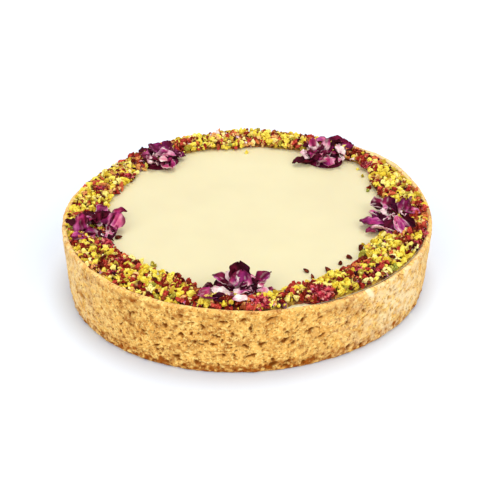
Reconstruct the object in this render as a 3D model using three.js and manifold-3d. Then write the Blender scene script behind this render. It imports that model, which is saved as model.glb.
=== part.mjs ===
// A straight-sided fruit tart, 185 mm across: a baked pastry shell filled level with pale cream, a border
// of chopped pistachio and dried raspberry round its edge, and five heaps of dried rose petals.
import * as THREE from "three";
import { mergeVertices } from "three/addons/utils/BufferGeometryUtils.js";
import Module from "manifold-3d";

const wasm = await Module();
wasm.setup();

// Driving dimensions, in millimetres
const TART_RADIUS = 92.5;
const RIM_HEIGHT = 35;
const RIM_SWAY = 1.9; // the rim is this much higher at two opposite quarters, and lower between them
const FOOT_SHARE = 0.98; // radius at the foot, as a share of the radius at the rim
const WALL_THICKNESS = 2.8;
const BASE_THICKNESS = 3;
const CREAM_LEVEL = 32.8;
const GAP = 0.3; // between pieces that rest on each other

// The outline is a little oval and three-lobed, and is moved so that its box is centred
const OVAL_SHARE = 0.015;
const LOBE_SHARE = 0.0133;
const LOBE_TURN = 34;
const OUTLINE_SHIFT = { x: -1.0, y: -0.7 };

// How finely the round pieces are divided
const SHELL_SEGMENTS = 132;
const CREAM_SEGMENTS = 66;
const BORDER_SEGMENTS = 174;
const BORDER_ROWS = 6;
const HEAP_SEGMENTS = 12;

// The baked wall: rows of points, its rounded edges and its relief
const WALL_ROWS = 6;
const FOOT_ROUNDING = 2.2; // how far the flat foot stays inside the wall
const FOOT_RISE = 1.1; // where the wall starts, above the foot
const FOOT_TUCK = 0.55; // how far the wall's lowest row is drawn in
const RIM_ROUNDING = 1.1; // how far the wall's edges stay below the crest
const CREST_INSET = 1.3; // from the outer wall to the crest
const CRUMBLE = 0.9; // from the deepest pit to the highest lump
const PIT_SHARE = 0.6; // of the crumble goes inwards
const WALL_SWAY = 0.35;

// The border of crumbs: its inner edge as [angle, share of the tart's radius], read anticlockwise
const BORDER_OUTER_SHARE = 0.965;
const BORDER_INNER_EDGE = [
  [8, 0.8],
  [15, 0.76],
  [27, 0.77],
  [36, 0.86],
  [45, 0.88],
  [72, 0.83],
  [95, 0.81],
  [112, 0.82],
  [143, 0.78],
  [155, 0.745],
  [174, 0.75],
  [207, 0.77],
  [220, 0.735],
  [243, 0.71],
  [255, 0.77],
  [279, 0.8],
  [290, 0.72],
  [300, 0.68],
  [312, 0.7],
  [325, 0.68],
  [335, 0.72],
];
const BORDER_HEIGHT = 3.4; // of the core that the crumbs lie on, above the cream
const BORDER_EDGE_HEIGHT = 1.6;
const BUMP_HEIGHT = 2.2;
const BANK_SHARE = 0.8; // of half a wave: the bank falls a little towards the rim
const UNDER_HEAP_HEIGHT = 1.5;
const UNDER_HEAP_SHARE = 0.9;

const CRUMB_COUNT = 42;
const CRUMB_SIZE = { small: 3, large: 4.8 };
const BERRY_COUNT = 12;
const BERRY_SIZE = { small: 3, large: 4.6 };
// Large broken berries, as [angle, share of the radius, diameter]
const LARGE_BERRIES = [
  [273, 0.9, 9],
  [293, 0.905, 9],
  [207, 0.81, 8],
  [103, 0.93, 7],
  [338, 0.93, 7],
  [150, 0.8, 6],
  [12, 0.92, 6],
];
const NUT_SIDES = [1, 0.78, 0.66];
const NUT_UNEVENNESS = 0.34;
const BERRY_UNEVENNESS = 0.2;
const CRUMB_SPACING = 3.6;
const BERRY_SPACING = 9;
// Crumbs that lie loose on the bare cream, as [angle, share of the radius, size]
const LOOSE_CRUMBS = [
  [34, 0.81, 3],
  [24, 0.725, 3.2],
  [90, 0.755, 2.6],
  [172, 0.695, 3],
  [229, 0.69, 2.6],
  [297, 0.635, 2],
  [305, 0.655, 2.2],
  [332, 0.645, 2.4],
  [40, 0.815, 2.4],
];

// Petals: how finely one is divided along and across, and how thick it is
const PETAL_STEPS = { along: 3, across: 2 };
const PETAL_THICKNESS = 0.8;
const PETAL_BASE_SHARE = 0.24; // width of the base and the tip, as a share of the whole width
const PETAL_CUP = 0.32;
const PETAL_WAVE = 0.05;
const PETAL_CURL = { small: 30, large: 75 }; // degrees from base to tip

// Each heap: its place, the size and height of its core, and its petals. A petal is
// [x, y, height above the cream, heading, lean, roll, length, width], angles in degrees.
const HEAPS = {
  rose_petals_back_right: {
    at: [42, 61.5],
    core: [12, 9.5, 3.6],
    turn: -35,
    petals: [
      [38.7, 60.6, 4.6, 265, -12, 0, 13, 13],
      [43.5, 67, 6, 70, 35, -10, 11, 8],
      [32.3, 60.7, 3.6, 100, 20, 20, 9, 7],
      [30.8, 56, 2, 190, 3, 0, 13, 6],
      [44.6, 54.2, 3, 270, -10, 0, 10, 9],
      [50.3, 61.3, 4.4, 110, 35, 30, 12, 7],
      [49.4, 69.5, 5, 60, 28, 0, 11, 9],
      [49.5, 73.6, 6.4, 340, 4, 0, 15, 7],
      [54.5, 67.5, 5, 20, 18, 0, 11, 9],
    ],
  },
  rose_petals_back_left: {
    at: [-46.5, 57.5],
    core: [11, 9, 3.6],
    turn: 38,
    petals: [
      [-49.5, 63.4, 4.8, 150, 28, 0, 13, 9],
      [-54, 61.5, 4.8, 205, 14, 10, 12, 6],
      [-43.3, 67, 4.8, 60, 28, 0, 12, 9],
      [-44.7, 57, 4.8, 355, 6, 10, 14, 6],
      [-43.5, 54.6, 3.4, 280, 8, 0, 11, 9],
      [-53, 56, 4.2, 210, 22, 0, 11, 9],
      [-51, 51.4, 2.9, 250, 12, 0, 10, 8],
      [-42.8, 50, 2.6, 320, 4, 0, 12, 8],
    ],
  },
  rose_petals_left: {
    at: [-72.5, -16.5],
    core: [9.5, 13.5, 3.8],
    turn: 12,
    petals: [
      [-64.3, -17.1, 4.4, 60, 35, 0, 13, 10],
      [-64.5, -4.8, 2.8, 20, 14, 0, 11, 7],
      [-70.4, -14.6, 5, 100, 38, 0, 12, 11],
      [-80.4, -22, 5.6, 95, 50, 28, 14, 11],
      [-84, -19.5, 5, 170, 14, 0, 11, 9],
      [-79.6, -31, 4.8, 220, 14, 0, 12, 8],
      [-77.5, -10.6, 4, 120, 22, 0, 11, 8],
      [-74.5, -26.5, 4, 200, 22, 0, 10, 8],
    ],
  },
  rose_petals_front: {
    at: [-3.8, -73],
    core: [14.5, 8, 4],
    turn: 0,
    petals: [
      [-2.8, -68.4, 9, 92, 72, 0, 13, 14],
      [-2, -72.2, 6, 80, 52, 0, 12, 12],
      [-10.6, -70.8, 5, 160, 32, 0, 12, 9],
      [-11, -77.4, 4, 172, 8, 28, 14, 7],
      [-16.2, -77.2, 4.2, 215, 30, 0, 12, 9],
      [7, -68.8, 4.8, 20, 28, 0, 13, 9],
      [1.5, -72.8, 3.8, 330, 14, 0, 10, 8],
      [-1.4, -77.4, 3.8, 0, 8, 0, 10, 7],
    ],
  },
  rose_petals_right: {
    at: [72.5, -9],
    core: [9.5, 14.5, 3.8],
    turn: -4,
    petals: [
      [63, -11.8, 3, 180, 5, 0, 15, 10],
      [76, -19.8, 5.2, 290, -22, 0, 15, 9],
      [67.5, 3.4, 3.2, 190, 14, 0, 12, 9],
      [79, -1.7, 5.6, 70, 42, 0, 12, 9],
      [82, -4.4, 4.8, 330, 16, 0, 12, 8],
      [79.4, -15.6, 4.6, 300, 18, 36, 13, 8],
      [70.4, -7.7, 5, 140, 14, 0, 11, 5],
      [67, -20, 3.6, 340, 0, 0, 14, 6],
      [74.4, -2.3, 5, 150, 38, 0, 9, 8],
    ],
  },
};

// Colours of the pieces
const COLOURS = {
  pastry: 0xdba763,
  cream: 0xf8eac2,
  crumbs: 0xb7a03a,
  petals: 0x6d1d55,
};

const rad = THREE.MathUtils.degToRad;
const lerp = THREE.MathUtils.lerp;

// A repeatable number from 0 to 1 for a pair of whole numbers
function chance(index, kind) {
  const value = Math.sin(index * 12.9898 + kind * 78.233) * 43758.5453;
  return value - Math.floor(value);
}

function between(range, share) {
  return lerp(range.small, range.large, share);
}

// Radius of the tart's rim at an angle in radians
function rimRadius(angle) {
  const oval = OVAL_SHARE * Math.sin(2 * angle);
  const lobes = LOBE_SHARE * Math.cos(3 * angle + rad(LOBE_TURN));
  return TART_RADIUS * (1 + oval + lobes);
}

function rimHeight(angle) {
  return RIM_HEIGHT + RIM_SWAY * Math.sin(2 * angle);
}

// Radius of the outer wall at a height, before its relief
function wallRadius(angle, z) {
  return rimRadius(angle) * lerp(FOOT_SHARE, 1, z / RIM_HEIGHT);
}

// A point of the tart at an angle, a distance from the middle and a height
function place(angle, radius, z) {
  return new THREE.Vector3(
    radius * Math.cos(angle) + OUTLINE_SHIFT.x,
    radius * Math.sin(angle) + OUTLINE_SHIFT.y,
    z,
  );
}

function geometryOf(points, triangles) {
  const geometry = new THREE.BufferGeometry().setFromPoints(points);
  geometry.setIndex(triangles);
  return geometry;
}

// The two triangles between four corners that run round a face
function quad(triangles, a, b, c, d) {
  triangles.push(a, b, c, a, c, d);
}

// A closed skin over rings that run from a pole at the bottom to a pole at the top
function poleToPole(rings, bottomPole, topPole) {
  const count = rings[0].length;
  const points = [bottomPole, ...rings.flat(), topPole];
  const last = points.length - 1;
  const at = (ring, i) => 1 + ring * count + (i % count);
  const triangles = [];
  for (let i = 0; i < count; i++) {
    triangles.push(0, at(0, i + 1), at(0, i));
    for (let ring = 0; ring + 1 < rings.length; ring++) {
      quad(triangles, at(ring, i), at(ring, i + 1), at(ring + 1, i + 1), at(ring + 1, i));
    }
    triangles.push(at(rings.length - 1, i), at(rings.length - 1, i + 1), last);
  }
  return geometryOf(points, triangles);
}

// A closed skin over rings that come back to the first one, like a tyre
function ringAround(rings) {
  const count = rings[0].length;
  const at = (ring, i) => (ring % rings.length) * count + (i % count);
  const triangles = [];
  for (let ring = 0; ring < rings.length; ring++) {
    for (let i = 0; i < count; i++) {
      quad(triangles, at(ring, i), at(ring, i + 1), at(ring + 1, i + 1), at(ring + 1, i));
    }
  }
  return geometryOf(rings.flat(), triangles);
}

// One ring of points, from a function of the angle and the point's number
function ringOf(count, pointAt) {
  return Array.from({ length: count }, (_, i) => pointAt((2 * Math.PI * i) / count, i));
}

function solidOf(geometry) {
  const bare = geometry.clone();
  bare.deleteAttribute("normal");
  bare.deleteAttribute("uv");
  const merged = mergeVertices(bare);
  const vertProperties = new Float32Array(merged.attributes.position.array);
  const triVerts = new Uint32Array(merged.index.array);
  return new wasm.Manifold(new wasm.Mesh({ numProp: 3, vertProperties, triVerts }));
}

function geometryFrom(solid) {
  const mesh = solid.getMesh();
  const geometry = new THREE.BufferGeometry();
  geometry.setAttribute("position", new THREE.BufferAttribute(mesh.vertProperties, 3));
  geometry.setIndex(new THREE.BufferAttribute(mesh.triVerts, 1));
  return geometry;
}

// The largest body of a solid: loose scraps go, and hollows that joining has sealed are filled
function largestBody(solid) {
  const bodies = solid.decompose();
  return bodies.reduce((best, body) => (body.volume() > best.volume() ? body : best));
}

function joined(solids) {
  return solids.reduce((sum, solid) => sum.add(solid));
}

function meshOf(name, geometry, color, roughness) {
  geometry.computeVertexNormals();
  const material = new THREE.MeshStandardMaterial({ color, roughness, metalness: 0 });
  const mesh = new THREE.Mesh(geometry, material);
  mesh.name = name;
  return mesh;
}

// How far the baked wall stands in or out: slow waves, and crumbs from point to point
function wallRelief(angle, column, row) {
  const waves = Math.sin(5 * angle + 1) + Math.sin(9 * angle + row);
  return (WALL_SWAY / 2) * waves + CRUMBLE * (chance(column, row) - PIT_SHARE);
}

// The pastry: flat foot, rounded lower edge, crumbly wall, rounded rim, plain inside and floor
function pastryShell() {
  const floorRing = ringOf(SHELL_SEGMENTS, (angle) =>
    place(angle, wallRadius(angle, 0) - FOOT_ROUNDING, 0),
  );
  const wallRings = [];
  for (let row = 0; row <= WALL_ROWS; row++) {
    wallRings.push(
      ringOf(SHELL_SEGMENTS, (angle, i) => {
        const z = lerp(FOOT_RISE, rimHeight(angle) - RIM_ROUNDING, row / WALL_ROWS);
        const tuck = row === 0 ? FOOT_TUCK : 0;
        return place(angle, wallRadius(angle, z) + wallRelief(angle, i, row) - tuck, z);
      }),
    );
  }
  const crest = ringOf(SHELL_SEGMENTS, (angle, i) => {
    const rough = CRUMBLE * (chance(i, WALL_ROWS + 1) - PIT_SHARE);
    return place(angle, rimRadius(angle) - CREST_INSET, rimHeight(angle) + rough);
  });
  const innerTop = ringOf(SHELL_SEGMENTS, (angle) => {
    const z = rimHeight(angle) - RIM_ROUNDING;
    return place(angle, wallRadius(angle, z) - WALL_THICKNESS, z);
  });
  const innerFoot = ringOf(SHELL_SEGMENTS, (angle) =>
    place(angle, wallRadius(angle, BASE_THICKNESS) - WALL_THICKNESS, BASE_THICKNESS),
  );
  return poleToPole(
    [floorRing, ...wallRings, crest, innerTop, innerFoot],
    place(0, 0, 0),
    place(0, 0, BASE_THICKNESS),
  );
}

// The cream fills the shell up to its level
function creamBody() {
  const inset = WALL_THICKNESS + GAP;
  const bottom = BASE_THICKNESS + GAP;
  const rings = [bottom, CREAM_LEVEL].map((z) =>
    ringOf(CREAM_SEGMENTS, (angle) => place(angle, wallRadius(angle, z) - inset, z)),
  );
  return poleToPole(rings, place(0, 0, bottom), place(0, 0, CREAM_LEVEL));
}

// An angular chip of nut: a box with its corners moved and its sides unequal
function nutChip(index, size) {
  const shape = new THREE.BoxGeometry(...NUT_SIDES);
  shape.deleteAttribute("normal");
  shape.deleteAttribute("uv");
  return roughened(mergeVertices(shape), index, size, NUT_UNEVENNESS);
}

// A lump of dried berry: a rounder, knobbly piece
function berryPiece(index, size) {
  const shape = new THREE.IcosahedronGeometry(0.5, 0);
  shape.deleteAttribute("normal");
  shape.deleteAttribute("uv");
  return roughened(mergeVertices(shape), index, size, BERRY_UNEVENNESS);
}

// The shape scaled to its size, with every corner moved a little, and turned any way round
function roughened(shape, index, size, unevenness) {
  const position = shape.attributes.position;
  for (let i = 0; i < position.count; i++) {
    const moved = [0, 1, 2].map((axis) => {
      const shift = unevenness * (chance(index * 31 + i, axis + 1) - 0.5);
      return size * (position.getComponent(i, axis) + shift);
    });
    position.setXYZ(i, ...moved);
  }
  const turn = new THREE.Euler(
    Math.PI * chance(index, 4),
    Math.PI * chance(index, 5),
    2 * Math.PI * chance(index, 6),
  );
  shape.applyMatrix4(new THREE.Matrix4().makeRotationFromEuler(turn));
  return shape;
}

// Crumbs that have fallen on the bare cream, sunk in it by a third
function looseCrumbs() {
  return LOOSE_CRUMBS.map(([angle, share, size], index) => {
    const at = place(rad(angle), share * TART_RADIUS, CREAM_LEVEL + size * 0.2);
    return solidOf(nutChip(900 + index, size).translate(at.x, at.y, at.z));
  });
}

// The border's inner edge at an angle in degrees, as a share of the radius, straight from point to point
function innerEdgeShare(degrees) {
  const edge = BORDER_INNER_EDGE;
  const next = edge.findIndex(([angle]) => angle > degrees);
  const after = next < 0 ? [edge[0][0] + 360, edge[0][1]] : edge[next];
  const before = next === 0 ? [edge.at(-1)[0] - 360, edge.at(-1)[1]] : edge.at(next - 1);
  return lerp(before[1], after[1], (degrees - before[0]) / (after[0] - before[0]));
}

// How far inside a heap's core a point lies: 1 at its middle, 0 at its edge, less outside
function insideHeap(heap, x, y, margin) {
  const turn = rad(heap.turn);
  const dx = x - heap.at[0];
  const dy = y - heap.at[1];
  const along = (dx * Math.cos(turn) + dy * Math.sin(turn)) / (heap.core[0] + margin);
  const across = (dy * Math.cos(turn) - dx * Math.sin(turn)) / (heap.core[1] + margin);
  return 1 - Math.hypot(along, across);
}

function underHeap(x, y, margin) {
  return Object.values(HEAPS).some((heap) => insideHeap(heap, x, y, margin) > 0);
}

// The low bank of small crumbs: it thins out to its inner edge, is highest in the middle, has bumps the
// size of a crumb, and is only a thin outer strip beside each heap of petals
function borderCore() {
  const edges = (angle) => {
    const outer = rimRadius(angle) * BORDER_OUTER_SHARE;
    let inner = innerEdgeShare(THREE.MathUtils.radToDeg(angle)) * TART_RADIUS;
    const middle = place(angle, lerp(inner, outer, 0.3), 0);
    if (underHeap(middle.x, middle.y, 2)) {
      inner = UNDER_HEAP_SHARE * rimRadius(angle);
    }
    return [inner, outer];
  };
  const at = (angle, share, z) => {
    const [inner, outer] = edges(angle);
    return place(angle, lerp(inner, outer, share), z);
  };
  const bottom = CREAM_LEVEL + GAP;
  const rings = [ringOf(BORDER_SEGMENTS, (angle) => at(angle, 1, bottom))];
  for (let row = BORDER_ROWS; row > 0; row--) {
    const share = row / BORDER_ROWS;
    const bank = lerp(BORDER_EDGE_HEIGHT, BORDER_HEIGHT, Math.sin(Math.PI * BANK_SHARE * share));
    rings.push(
      ringOf(BORDER_SEGMENTS, (angle, i) => {
        const point = at(angle, share, bottom);
        const bumpy = bank + BUMP_HEIGHT * (chance(i, 50 + row) - 0.5);
        point.z += underHeap(point.x, point.y, 4) ? UNDER_HEAP_HEIGHT : bumpy;
        return point;
      }),
    );
  }
  rings.push(ringOf(BORDER_SEGMENTS, (angle) => at(angle, 0, bottom)));
  return ringAround(rings);
}

// A place for each crumb: drawn at random in the border, and kept if it isn't too near another
function crumbPlaces(count, kind, apart) {
  const places = [];
  for (let draw = 0; places.length < count && draw < count * 40; draw++) {
    const degrees = 360 * chance(draw, kind);
    const share = chance(draw, kind + 1);
    const inner = innerEdgeShare(degrees) * TART_RADIUS + 1.2;
    const outer = rimRadius(rad(degrees)) * BORDER_OUTER_SHARE - 1.4;
    const spot = place(rad(degrees), lerp(inner, outer, share), 0);
    spot.rise = Math.sin(Math.PI * lerp(0.16, 0.84, share));
    const near = places.some((other) => Math.hypot(other.x - spot.x, other.y - spot.y) < apart);
    if (!near && !underHeap(spot.x, spot.y, 1)) places.push(spot);
  }
  return places;
}

// Everything that lies on the border's core: large berries first, then berry lumps, then chips of nut
function borderPieces() {
  const pieces = [];
  const lay = (shape, x, y, z) => pieces.push(solidOf(shape.translate(x, y, z)));
  LARGE_BERRIES.forEach(([angle, share, size], index) => {
    const at = place(rad(angle), share * rimRadius(rad(angle)), 0);
    const shape = berryPiece(700 + index, size).scale(1, 0.8, 0.62);
    lay(shape, at.x, at.y, CREAM_LEVEL + BORDER_HEIGHT);
  });
  crumbPlaces(BERRY_COUNT, 11, BERRY_SPACING).forEach((spot, index) => {
    const size = between(BERRY_SIZE, chance(index, 13));
    const z = CREAM_LEVEL + BORDER_HEIGHT * spot.rise + size * 0.18;
    lay(berryPiece(index, size), spot.x, spot.y, z);
  });
  crumbPlaces(CRUMB_COUNT, 21, CRUMB_SPACING).forEach((spot, index) => {
    const size = between(CRUMB_SIZE, chance(index, 23));
    const z = CREAM_LEVEL + BORDER_HEIGHT * spot.rise + size * 0.2;
    lay(nutChip(index, size), spot.x, spot.y, z);
  });
  return pieces;
}

// A dried petal: narrow at its base, widest past the middle, cupped, curled along its length and wavy at
// its tip. grow makes it larger all round.
function petal([x, y, rise, heading, lean, roll, length, width], index, grow) {
  const { along, across } = PETAL_STEPS;
  const thick = PETAL_THICKNESS / 2 + grow;
  const curl = rad(between(PETAL_CURL, chance(index, 61)));
  const faces = [1, -1].map((side) => {
    const points = [];
    for (let a = 0; a <= along; a++) {
      const s = a / along;
      const fullness = Math.sin(Math.PI * s ** 1.15) ** 0.7;
      const half = (width / 2) * lerp(PETAL_BASE_SHARE, 1, fullness) + grow;
      const bend = curl * (s - 0.5);
      const reach = (length / 2 + grow) * 2 * (s - 0.5);
      for (let c = 0; c <= across; c++) {
        const t = (2 * c) / across - 1;
        const cup = PETAL_CUP * half * t * t;
        const wave = PETAL_WAVE * width * s * Math.sin(4 * t + 6 * chance(index, 62));
        const droop = (length / 2) * (1 - Math.cos(bend));
        const height = cup + wave - droop + side * thick;
        points.push(new THREE.Vector3(reach * Math.cos(bend * 0.5), half * t, height));
      }
    }
    return points;
  });
  const row = across + 1;
  const under = faces[0].length;
  const triangles = [];
  for (let a = 0; a < along; a++) {
    for (let c = 0; c < across; c++) {
      const k = a * row + c;
      quad(triangles, k, k + row, k + row + 1, k + 1);
      quad(triangles, under + k + row + 1, under + k + row, under + k, under + k + 1);
    }
    const left = a * row;
    const right = left + across;
    quad(triangles, left + row, left, under + left, under + left + row);
    quad(triangles, right, right + row, under + right + row, under + right);
  }
  for (let c = 0; c < across; c++) {
    const tip = along * row + c;
    quad(triangles, c, c + 1, under + c + 1, under + c);
    quad(triangles, tip + 1, tip, under + tip, under + tip + 1);
  }
  const turn = new THREE.Euler(rad(roll), rad(-lean), rad(heading), "ZYX");
  const shape = geometryOf(faces.flat(), triangles);
  shape.applyMatrix4(new THREE.Matrix4().makeRotationFromEuler(turn));
  return shape.translate(x + OUTLINE_SHIFT.x, y + OUTLINE_SHIFT.y, CREAM_LEVEL + rise);
}

// The low mound under a heap's petals
function heapMound(heap, grow) {
  const [halfX, halfY, height] = heap.core;
  const turn = rad(heap.turn);
  const levels = [
    [1, 0],
    [0.93, 0.5],
    [0.6, 0.9],
  ];
  const at = (angle, share, z) => {
    const along = (halfX + grow) * share * Math.cos(angle);
    const across = (halfY + grow) * share * Math.sin(angle);
    return new THREE.Vector3(
      heap.at[0] + OUTLINE_SHIFT.x + along * Math.cos(turn) - across * Math.sin(turn),
      heap.at[1] + OUTLINE_SHIFT.y + along * Math.sin(turn) + across * Math.cos(turn),
      z,
    );
  };
  const bottom = CREAM_LEVEL + GAP - grow;
  const top = CREAM_LEVEL + height + grow;
  const rings = levels.map(([share, rise]) =>
    ringOf(HEAP_SEGMENTS, (angle) => at(angle, share, lerp(bottom, top, rise))),
  );
  return poleToPole(rings, at(0, 0, bottom), at(0, 0, top));
}

// A heap's mound and petals joined; grown a little, it is the room that the border leaves free
function heapSolid(heap, grow) {
  const shapes = [heapMound(heap, grow)];
  heap.petals.forEach((row, index) => shapes.push(petal(row, index, grow)));
  return joined(shapes.map(solidOf));
}

// The space of the rim, with its gap, where no topping may reach
function rimRoom() {
  const inner = (angle) => wallRadius(angle, CREAM_LEVEL) - WALL_THICKNESS - GAP;
  const outer = (angle) => rimRadius(angle) + 4;
  const corners = [
    [outer, () => 0],
    [outer, (angle) => rimHeight(angle) + 2 * GAP],
    [inner, (angle) => rimHeight(angle) + 2 * GAP],
    [inner, () => 0],
  ];
  return solidOf(
    ringAround(
      corners.map(([radius, height]) =>
        ringOf(SHELL_SEGMENTS, (angle) => place(angle, radius(angle), height(angle))),
      ),
    ),
  );
}

// Everything below the toppings' lowest level
function roomBelow() {
  const width = 3 * TART_RADIUS;
  const level = CREAM_LEVEL + GAP;
  return solidOf(new THREE.BoxGeometry(width, width, level).translate(0, 0, level / 2));
}

// Assembly
const tart = new THREE.Group();
tart.add(meshOf("pastry_shell", pastryShell(), COLOURS.pastry, 0.9));

const cream = joined([solidOf(creamBody()), ...looseCrumbs()]);
tart.add(meshOf("cream_filling", geometryFrom(largestBody(cream)), COLOURS.cream, 0.35));

const rim = rimRoom();
const below = roomBelow();
const heaps = Object.entries(HEAPS);
const heapRoom = joined(heaps.map(([, heap]) => heapSolid(heap, 2 * GAP)));
const freePieces = borderPieces().filter((piece) => piece.intersect(heapRoom).isEmpty());
const border = joined([solidOf(borderCore()), ...freePieces])
  .subtract(heapRoom)
  .subtract(rim)
  .subtract(below);
tart.add(meshOf("crumb_border", geometryFrom(largestBody(border)), COLOURS.crumbs, 0.8));

for (const [name, heap] of heaps) {
  const solid = largestBody(heapSolid(heap, 0).subtract(rim).subtract(below));
  tart.add(meshOf(name, geometryFrom(solid), COLOURS.petals, 0.6));
}

export default tart;
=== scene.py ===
import math

import bpy
import numpy as np
from mathutils import Matrix, Vector


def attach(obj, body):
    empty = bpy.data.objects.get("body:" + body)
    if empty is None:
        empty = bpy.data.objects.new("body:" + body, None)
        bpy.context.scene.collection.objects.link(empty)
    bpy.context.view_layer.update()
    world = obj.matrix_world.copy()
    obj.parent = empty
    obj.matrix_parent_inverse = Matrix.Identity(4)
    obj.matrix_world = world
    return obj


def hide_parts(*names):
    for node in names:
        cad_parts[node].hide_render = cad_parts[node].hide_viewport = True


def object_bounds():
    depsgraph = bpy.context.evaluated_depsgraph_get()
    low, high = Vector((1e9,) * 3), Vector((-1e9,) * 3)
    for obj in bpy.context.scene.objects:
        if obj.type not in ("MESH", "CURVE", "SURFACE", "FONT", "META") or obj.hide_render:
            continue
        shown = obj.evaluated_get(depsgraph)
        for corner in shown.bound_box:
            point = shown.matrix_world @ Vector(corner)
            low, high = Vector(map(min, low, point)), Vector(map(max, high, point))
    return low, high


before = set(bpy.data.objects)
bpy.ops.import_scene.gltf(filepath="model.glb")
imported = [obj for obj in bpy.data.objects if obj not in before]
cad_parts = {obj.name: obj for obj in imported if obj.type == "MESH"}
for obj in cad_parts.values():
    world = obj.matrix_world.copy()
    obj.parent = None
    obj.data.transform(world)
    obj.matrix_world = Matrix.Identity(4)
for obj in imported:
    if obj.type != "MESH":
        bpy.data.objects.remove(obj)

CAD_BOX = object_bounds()

# The tart's sizes, in millimetres. Every shape is worked out in millimetres and laid down in metres.
MM = 0.001
TART_RADIUS = 92.5
RIM_HEIGHT = 35.0
WALL_THICKNESS = 2.8
BASE_THICKNESS = 3.0
CREAM_LEVEL = 32.8
# How far the rim rises above its height and falls below it, twice round the tart
RIM_SWAY = 1.9
# The foot's radius, the oval and the three lobes of the outline, as shares of the rim's radius
FOOT_SHARE = 0.98
OVAL_SHARE = 0.015
LOBE_SHARE = 0.0133
LOBE_TURN = math.radians(34)
OUTLINE_SHIFT = np.array([-1.0, -0.7, 0.0])
# Where the rim stands a little higher and further out, as [degrees, half width in degrees, up, out]
RIM_SWELLS = [[36, 17, 1.5, 1.0], [172, 12, 1.0, 0.0]]

# The photograph's camera, fitted to the tart's outline
CAMERA_ELEVATION = math.radians(30.5)
CAMERA_DISTANCE = 6.75 * TART_RADIUS
CAMERA_ROLL = math.radians(-0.4)
CAMERA_YAW = math.radians(-0.28)
CAMERA_PITCH = math.radians(0.03)
CAMERA_LENS = 91.5
SENSOR_WIDTH = 36.0

# Light: how bright the room is, and for each lamp its strength, how wide it is and where it comes from
ROOM_LIGHT = 0.66
ROOM_TINT = (0.96, 0.98, 1.0, 1.0)
LAMP_TINT = (1.0, 0.985, 0.96)
LAMPS = {
    "high_light": [1.25, math.radians(30), (0.06, 0.24, 0.95)],
    "front_right_light": [1.12, math.radians(45), (0.6, -0.55, 0.58)],
    "front_left_light": [1.0, math.radians(45), (-0.55, -0.6, 0.58)],
}

# The pale floor: its colour, and how far it reaches to each side, in metres
FLOOR_TINT = (0.755, 0.825, 0.93, 1.0)
FLOOR_REACH = 4.0

# Baked case: how finely it is divided round the tart, and up its foot's edge, its wall and its crest
CASE_COLUMNS = 1120
FOOT_ROWS = 6
CASE_WALL_ROWS = 66
CREST_ROWS = 10
# How far its flat foot reaches in from the wall, how round the foot's edge is, and how far under the
# cream the upper row of its inner side lies
FOOT_FLAT = 6.0
FOOT_ROUNDING = 2.0
INNER_ROW_DROP = 1.5
# How much of the wall's relief the foot's edge and the crest have, and how far the crest is uneven
FOOT_RELIEF = 0.8
CREST_RELIEF = 0.55
CREST_SWAY = 0.7
# Bumps of the crust, as [height, width, level where they start, growth at the crumbled foot, seed]
CRUST_BUMPS = [
    [0.5, 17, 0.5, 0, 1],
    [0.4, 5.2, 0.6, 0, 2],
    [0.42, 2.3, 0.65, 2.2, 4],
    [0.25, 1.1, 0.55, 1, 3],
]
# How far the bumps stand out at most, and how much further at the crumbled foot
MOST_OUTWARD = 0.22
FOOT_OUTWARD = 0.7
CREASE_DEPTH = 0.6
# How far under the crest holes begin, over how much more they deepen, and how high the crumbled foot is
HOLES_BEGIN = 1.5
SMOOTH_BAND = 4.5
CRUMBLED_FOOT = 6.5
# Round holes in the wall, as [spacing, least radius, largest radius, depth, share of places that have one]
PIT_SIZES = [
    [5.2, 0.8, 1.7, 1.5, 0.85],
    [2.9, 0.5, 1.0, 1.1, 0.95],
    [1.9, 0.35, 0.6, 0.7, 0.95],
]
# How much each axis counts in them: height counts more, so that the holes are wider than high
HOLE_SQUASH = np.array([1.0, 1.0, 1.25])
# The holes that stand out most, as [degrees, height, half width, half height, rise for each millimetre
# to the right]
WALL_HOLES = [
    [270, 15.5, 1.9, 1.5, 0], [263.5, 29, 1.6, 1.3, 0], [258, 26, 1.4, 1.6, -0.2],
    [262, 21, 1.9, 1.1, -0.4], [261, 16, 1.4, 1.3, 0], [257.5, 16, 2.3, 0.9, -0.3],
    [269.5, 30, 2.4, 1, -0.1], [271.5, 25.5, 1.6, 1.3, 0], [277.5, 30, 3.2, 0.8, 0.35],
    [282, 21.5, 1.2, 1.1, 0], [275, 16.5, 2.6, 1, 0.2], [281.5, 17, 3.4, 0.9, 0.4],
    [271.5, 10, 3.2, 1, 0.35], [278, 4, 2.4, 1.8, 0], [292, 26.5, 1.6, 1, 0], [286.5, 27.5, 2, 1.4, 0.4],
    [289, 20.5, 2.8, 1.1, 0.5], [293, 16, 2.4, 1.1, 0.3], [301.5, 19.5, 1.3, 1.5, 0],
    [305, 22.5, 1.2, 1, 0], [307.5, 23, 1.6, 1.1, 0], [313, 20, 1.5, 1, 0.3], [302.5, 5, 1.6, 1.6, 0],
    [308, 3, 1.8, 1.2, 0.3], [247, 24, 1.5, 1.5, 0], [240, 17, 1.6, 1.2, 0], [232, 12, 1.4, 1.3, 0],
    [252, 20, 1.6, 1.2, -0.3], [244, 11, 1.8, 1.2, 0.3], [236, 24, 1.3, 1.4, 0], [250, 7, 1.8, 1.3, 0],
]
WALL_HOLE_DEPTH = 1.5
# Places on the crust, as (degrees, half width in degrees): where the small holes crowd, where it is
# browner, where painted light makes it paler outside on the right and the left, and where it is paler
# inside
HOLED_PLACE = (243, 24)
BROWN_PLACE = (245, 22)
PAINTED_LIGHT_RIGHT = (325, 21)
PAINTED_LIGHT_LEFT = (204, 19)
PALE_INSIDE = (36, 30)
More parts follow.
